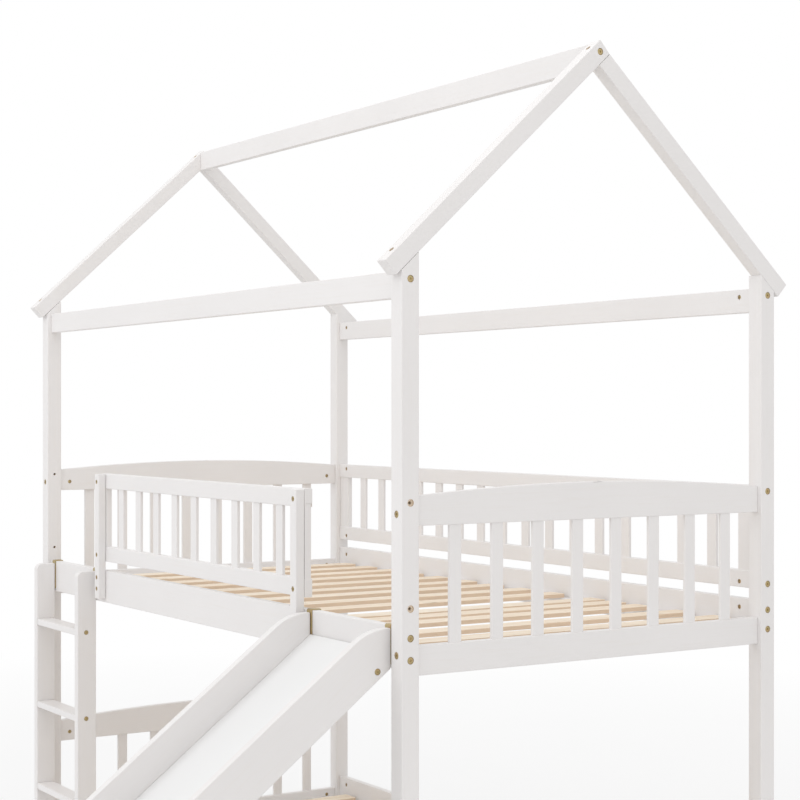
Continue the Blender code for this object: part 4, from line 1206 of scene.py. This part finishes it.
def slide_side_cuts():
    """Planes of a slide side: shoulder bend, rounded nose and sloped underside."""
    bend = SLIDE_SHOULDER_RADIUS * math.tan(SLIDE_PITCH / 2)
    cuts = round_cuts(HOOKED_BACK_Y - SLIDE_SHOULDER + bend, SLIDE_TOP - SLIDE_SHOULDER_RADIUS,
                      SLIDE_SHOULDER_RADIUS, QUARTER, QUARTER + SLIDE_PITCH, CORNER_STEPS)[1:]
    nose_y = (SLIDE_NOSE_HEIGHT - slide_line(0)) / math.tan(SLIDE_PITCH)
    nose_set = SLIDE_NOSE_RADIUS * math.tan((QUARTER - SLIDE_PITCH) / 2)
    cuts += round_cuts(nose_y + SLIDE_NOSE_RADIUS, SLIDE_NOSE_HEIGHT - nose_set, SLIDE_NOSE_RADIUS,
                       QUARTER + SLIDE_PITCH, math.pi, CORNER_STEPS)[1:-1]
    cuts.append((Vector((0, 0, slide_line(SLIDE_SIDE_DEPTH))), -SLIDE_UP))
    return cuts


class HOUSEBED_OT_slide(bpy.types.Operator):
    """Hook-on slide: two sides with a round shoulder, the coated bed in their grooves, three cross bars"""

    bl_idname = "house_bed.slide"
    bl_label = "Slide"

    def execute(self, context):
        bed_low, bed_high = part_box("slide_bed")
        top = Vector((0, 0, slide_line(SLIDE_BED_DROP)))
        bottom = Vector((0, 0, slide_line(SLIDE_BED_DROP + SLIDE_BED_THICKNESS)))
        gap = SLIDE_UP * FIT_GAP
        for side, sign in SIDES.items():
            node = f"slide_side_{side}"
            low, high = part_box(node)
            inner = high.x if sign < 0 else low.x
            near, far = sorted((inner + sign * SLIDE_BED_HOUSING, inner - sign * OVERRUN))
            groove = block(node + "_groove", (near, bed_low.y - FIT_GAP, bed_low.z - OVERRUN),
                           (far, bed_high.y + OVERRUN, bed_high.z + OVERRUN))
            saw(groove, [(top + gap, SLIDE_UP), (bottom - gap, -SLIDE_UP)])
            board(node, "down_slide", cuts=slide_side_cuts(), cutters=[groove], body="slide")
        bed = block("slide_bed_board", bed_low, bed_high)
        saw(bed, [(top, SLIDE_UP), (bottom, -SLIDE_UP)])
        round_edges(bed, FINE_EASE)
        finish(bed, "slide_bed_board", [slide_coating(), drilled_pine()], "slide",
               ["slide_bed"])
        along = Vector((0, math.cos(SLIDE_PITCH), math.sin(SLIDE_PITCH)))
        spread = Vector((0, OVERRUN, OVERRUN))
        for number, spot in enumerate(middles("slide_cross_bar", SLIDE_BAR_COUNT)):
            node = f"slide_cross_bar_{number + 1}"
            low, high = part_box(node)
            cuts = [(spot + outward * size / 2, outward)
                    for outward, size in ((SLIDE_UP, SLIDE_BAR_THICKNESS), (-SLIDE_UP, SLIDE_BAR_THICKNESS),
                                          (along, SLIDE_BAR_WIDTH), (-along, SLIDE_BAR_WIDTH))]
            bar = saw(block(node + "_board", low - spread, high + spread), cuts)
            round_edges(bar, edge_radius(), [(low, X_AXIS), (high, X_AXIS)])
            finish_board(bar, node, "along_x", body="slide")
        return {"FINISHED"}


def bent_strap(name, low, high):
    """A flat strip bent over the rail: a long leg in front, a top and a short lip behind."""
    wall = STRAP_THICKNESS / 2
    leg_y, lip_y, top = low.y + wall, high.y - wall, high.z - wall
    leg = top - low.z
    bpy.ops.object.select_all(action="DESELECT")
    bpy.ops.mesh.primitive_plane_add(size=1, location=((low.x + high.x) / 2, leg_y, low.z + leg / 2),
                                     rotation=(QUARTER, 0, 0))
    piece = named(name)
    bpy.ops.transform.resize(value=(high.x - low.x, 1, leg))
    settle(piece)
    top_edge, lip_edge = Vector((0, 0, top)), Vector((0, lip_y, 0))
    for point, normal, step in ((top_edge, Z_AXIS, (0, lip_y - leg_y, 0)),
                                (lip_edge, Y_AXIS, (0, 0, low.z + STRAP_LEG - STRAP_LIP - top))):
        edit_edges(piece, lambda edge: lies_on(edge, point, normal))
        bpy.ops.mesh.extrude_edges_move(TRANSFORM_OT_translate={"value": step})
        close(piece)
    edit_edges(piece, lambda edge: lies_on(edge, top_edge, Z_AXIS) and len(edge.link_faces) == 2)
    bpy.ops.mesh.bevel(offset=STRAP_BEND, segments=STRAP_BEND_SEGMENTS)
    bpy.ops.mesh.select_all(action="SELECT")
    bpy.ops.mesh.normals_make_consistent(inside=False)
    close(piece)
    apply(piece, "SOLIDIFY", thickness=STRAP_THICKNESS, offset=0)
    return apply(piece, "BEVEL", width=FINE_EASE, segments=FINE_SEGMENTS, limit_method="ANGLE",
                 angle_limit=SHARP_ANGLE)


class HOUSEBED_OT_hooks(bpy.types.Operator):
    """Bent steel straps that hook the ladder and the slide over the side rail"""

    bl_idname = "house_bed.hooks"
    bl_label = "Hook straps"

    def execute(self, context):
        for node, owner, screw_starts in strap_places():
            strap = bent_strap(node + "_strap", *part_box(node))
            for start in screw_starts:
                plan_hole(node, drill_bit, start, -Y_AXIS, SCREW_HEAD_RADIUS + FIT_GAP, SCREW_HEAD_DEPTH)
            cut_planned(strap, node)
            finish_metal(strap, node + "_strap", owner, [node], finishes=2)
        return {"FINISHED"}


def bolt_pattern(name, length, share):
    """A bolt along +Z: a flat head with a rounded rim and a socket in it, and a shank with a pointed end."""
    sizes = bpy.context.scene.house_bed_hardware
    head_radius = sizes.head_radius * share
    rim = -sizes.head_thickness
    shank_radius = sizes.shank_radius
    bolt = rod(name, head_radius, rim, 0)
    edit_top(bolt)
    bpy.ops.mesh.inset(thickness=head_radius - shank_radius)
    pull_up(length - shank_radius)
    pull_up(shank_radius)
    bpy.ops.transform.resize(value=(BOLT_POINT_SHARE, BOLT_POINT_SHARE, 1), center_override=(0, 0, length))
    close(bolt)
    edit_edges(bolt, lambda edge: lies_on(edge, Vector((0, 0, rim)), Z_AXIS))
    bpy.ops.mesh.bevel(offset=-rim * BOLT_RIM_SHARE, segments=EASE_SEGMENTS)
    close(bolt)
    socket = rod(name + "_socket", sizes.socket_radius * share, rim - SOCKET_DEPTH, rim + SOCKET_DEPTH,
                 SOCKET_SIDES)
    return work_with(bolt, socket)


class HOUSEBED_OT_bolts(bpy.types.Operator):
    """Flat-headed bolts with hexagon sockets, each seated in its recess"""

    bl_idname = "house_bed.bolts"
    bl_label = "Bolts"

    def execute(self, context):
        patterns = {}
        for name, start, direction, length, body, solids, share in BOLTS:
            kind = (length, share)
            if kind not in patterns:
                patterns[kind] = bolt_pattern(f"bolt_pattern_{len(patterns)}", length, share)
            bolt = copy_at(patterns[kind], aimed(start + direction * BOLT_SEAT, direction), name)
            finish_metal(bolt, name, body, solids)
        for pattern in patterns.values():
            discard(pattern)
        return {"FINISHED"}


class HOUSEBED_OT_barrel_nuts(bpy.types.Operator):
    """Barrel nuts across the boards, with a screwdriver slot in the end that shows"""

    bl_idname = "house_bed.barrel_nuts"
    bl_label = "Barrel nuts"

    def execute(self, context):
        radius = context.scene.house_bed_hardware.nut_radius
        pattern = rod("barrel_nut_pattern", radius, 0, NUT_LENGTH)
        edit_edges(pattern, lambda edge: edge.calc_face_angle(0) > NUT_RIM_ANGLE)
        bpy.ops.mesh.bevel(offset=NUT_EASE, segments=FINE_SEGMENTS)
        close(pattern)
        slot = block("barrel_nut_slot", (-radius * 2, -NUT_SLOT_HALF_WIDTH, -OVERRUN),
                     (radius * 2, NUT_SLOT_HALF_WIDTH, NUT_SLOT_DEPTH))
        work_with(pattern, slot)
        thread = drill_bit("barrel_nut_thread", NUT_THREAD_RADIUS, NUT_THREAD_REACH, NUT_THREAD_SIDES)
        start = Vector((NUT_THREAD_REACH / 2, 0, NUT_LENGTH / 2))
        put(thread, Matrix.Translation(start) @ Matrix.Rotation(-QUARTER, 4, "Y"))
        work_with(pattern, thread)
        for name, start, direction in NUTS:
            finish_metal(copy_at(pattern, aimed(start, direction), name), name, "bed_frame")
        discard(pattern)
        return {"FINISHED"}


def screw_pattern():
    """A countersunk cross-head screw along +Z, its head's top at the origin."""
    bpy.ops.object.select_all(action="DESELECT")
    bpy.ops.mesh.primitive_cone_add(vertices=SCREW_SIDES, radius1=SCREW_HEAD_RADIUS,
                                    radius2=SCREW_CORE_RADIUS, depth=SCREW_HEAD_DEPTH,
                                    location=(0, 0, SCREW_HEAD_DEPTH / 2))
    pattern = settle(named("screw_pattern"))
    edit_top(pattern)
    pull_up(SCREW_LENGTH)
    bpy.ops.transform.resize(value=(SCREW_TIP_SHARE, SCREW_TIP_SHARE, 1),
                             center_override=(0, 0, SCREW_LENGTH + SCREW_HEAD_DEPTH))
    close(pattern)
    arm = Vector((SCREW_CROSS_REACH, SCREW_CROSS_REACH * SCREW_CROSS_SHARE, SCREW_HEAD_DEPTH / 2))
    for number, half in enumerate((arm, Vector((arm.y, arm.x, arm.z)))):
        work_with(pattern, block(f"screw_cross_{number}", -half, half))
    return pattern


class HOUSEBED_OT_screws(bpy.types.Operator):
    """Countersunk cross-head screws of the hook straps, and the long screws of the roof"""

    bl_idname = "house_bed.screws"
    bl_label = "Screws"

    def execute(self, context):
        pattern = screw_pattern()
        for node, owner, starts in strap_places():
            row = [copy_at(pattern, aimed(start, -Y_AXIS), f"{node}_screw_{number}")
                   for number, start in enumerate(starts)]
            finish_metal(join(row, node + "_screws"), node + "_screws", owner)
        for _rafter, name, start, direction in roof_screws():
            place = aimed(start + direction * ROOF_SCREW_SEAT, direction) @ Matrix.Scale(ROOF_SCREW_SCALE, 4)
            finish_metal(copy_at(pattern, place, name), name, "bed_frame")
        discard(pattern)
        return {"FINISHED"}


# Studio

def white_world(strength):
    """Even light from all round, which the camera and mirrored rays see as plain white."""
    world = bpy.data.worlds.new("studio_world")
    nodes = Nodes(world)
    light = nodes.tree.nodes["Background"]
    nodes.plug(light.inputs["Color"], WHITE)
    nodes.plug(light.inputs["Strength"], strength)
    white = nodes.add("ShaderNodeBackground", {"Color": WHITE})
    path = nodes.add("ShaderNodeLightPath").outputs
    seen = nodes.work_out("MAXIMUM", path["Is Camera Ray"], path["Is Transmission Ray"])
    seen = nodes.work_out("MAXIMUM", seen, path["Is Glossy Ray"])
    nodes.show_both(seen, light, white, "World Output")
    return world


class HOUSEBED_OT_studio(bpy.types.Operator):
    """Pale floor, white surroundings, soft lights and the camera"""

    bl_idname = "house_bed.studio"
    bl_label = "Studio"

    def execute(self, context):
        scene = context.scene
        studio = scene.house_bed_studio
        bpy.ops.object.select_all(action="DESELECT")
        bpy.ops.mesh.primitive_plane_add(size=FLOOR_SIDE, location=(0, 0, -FLOOR_DROP))
        floor = settle(named("studio_floor"))
        floor.data.materials.append(studio_floor())
        scene.world = white_world(studio.sky)
        for name, (spot, target, width, setting, share, colour) in LIGHTS.items():
            bpy.ops.object.select_all(action="DESELECT")
            bpy.ops.object.light_add(type="AREA", location=spot)
            light = named(name)
            light.data.shape = "DISK"
            light.data.size = width
            light.data.energy = getattr(studio, setting) * share
            light.data.color = colour
            light.rotation_euler = (Vector(target) - Vector(spot)).to_track_quat("-Z", "Y").to_euler()
        bpy.ops.object.camera_add(location=CAMERA_SPOT, rotation=CAMERA_TURN)
        camera = named("studio_camera")
        camera.data.sensor_width = SENSOR_WIDTH
        camera.data.lens = studio.lens * MILLIMETRES
        camera.data.shift_y = CAMERA_SHIFT
        camera.data.clip_end = CAMERA_REACH
        scene.camera = camera
        scene.view_settings.view_transform = "Standard"
        return {"FINISHED"}


STEPS = (HOUSEBED_OT_joinery, HOUSEBED_OT_posts, HOUSEBED_OT_roof, HOUSEBED_OT_side_rails,
         HOUSEBED_OT_end_frames, HOUSEBED_OT_guards, HOUSEBED_OT_decks, HOUSEBED_OT_ladder,
         HOUSEBED_OT_slide, HOUSEBED_OT_hooks, HOUSEBED_OT_bolts, HOUSEBED_OT_barrel_nuts,
         HOUSEBED_OT_screws, HOUSEBED_OT_studio)

GROUPS = {"house_bed_paint": HouseBedPaint, "house_bed_pine": HouseBedPine,
          "house_bed_hardware": HouseBedHardware, "house_bed_studio": HouseBedStudio}


class HOUSEBED_PT_panel(bpy.types.Panel):
    """Settings and building steps of the house-frame bed"""

    bl_idname = "HOUSEBED_PT_panel"
    bl_label = "House-frame bed"
    bl_space_type = "VIEW_3D"
    bl_region_type = "UI"
    bl_category = "House bed"

    def draw(self, context):
        for name in GROUPS:
            group = getattr(context.scene, name)
            box = self.layout.box()
            for setting in group.__annotations__:
                box.prop(group, setting)
        for step in STEPS:
            self.layout.operator(step.bl_idname)


def register():
    for name, group in GROUPS.items():
        bpy.utils.register_class(group)
        setattr(bpy.types.Scene, name, bpy.props.PointerProperty(type=group))
    for step in STEPS:
        bpy.utils.register_class(step)
    bpy.utils.register_class(HOUSEBED_PT_panel)


def unregister():
    bpy.utils.unregister_class(HOUSEBED_PT_panel)
    for step in reversed(STEPS):
        bpy.utils.unregister_class(step)
    for name, group in GROUPS.items():
        delattr(bpy.types.Scene, name)
        bpy.utils.unregister_class(group)


def main():
    register()
    for step in STEPS:
        group, name = step.bl_idname.split(".")
        getattr(getattr(bpy.ops, group), name)()


if __name__ == "__main__":
    main()
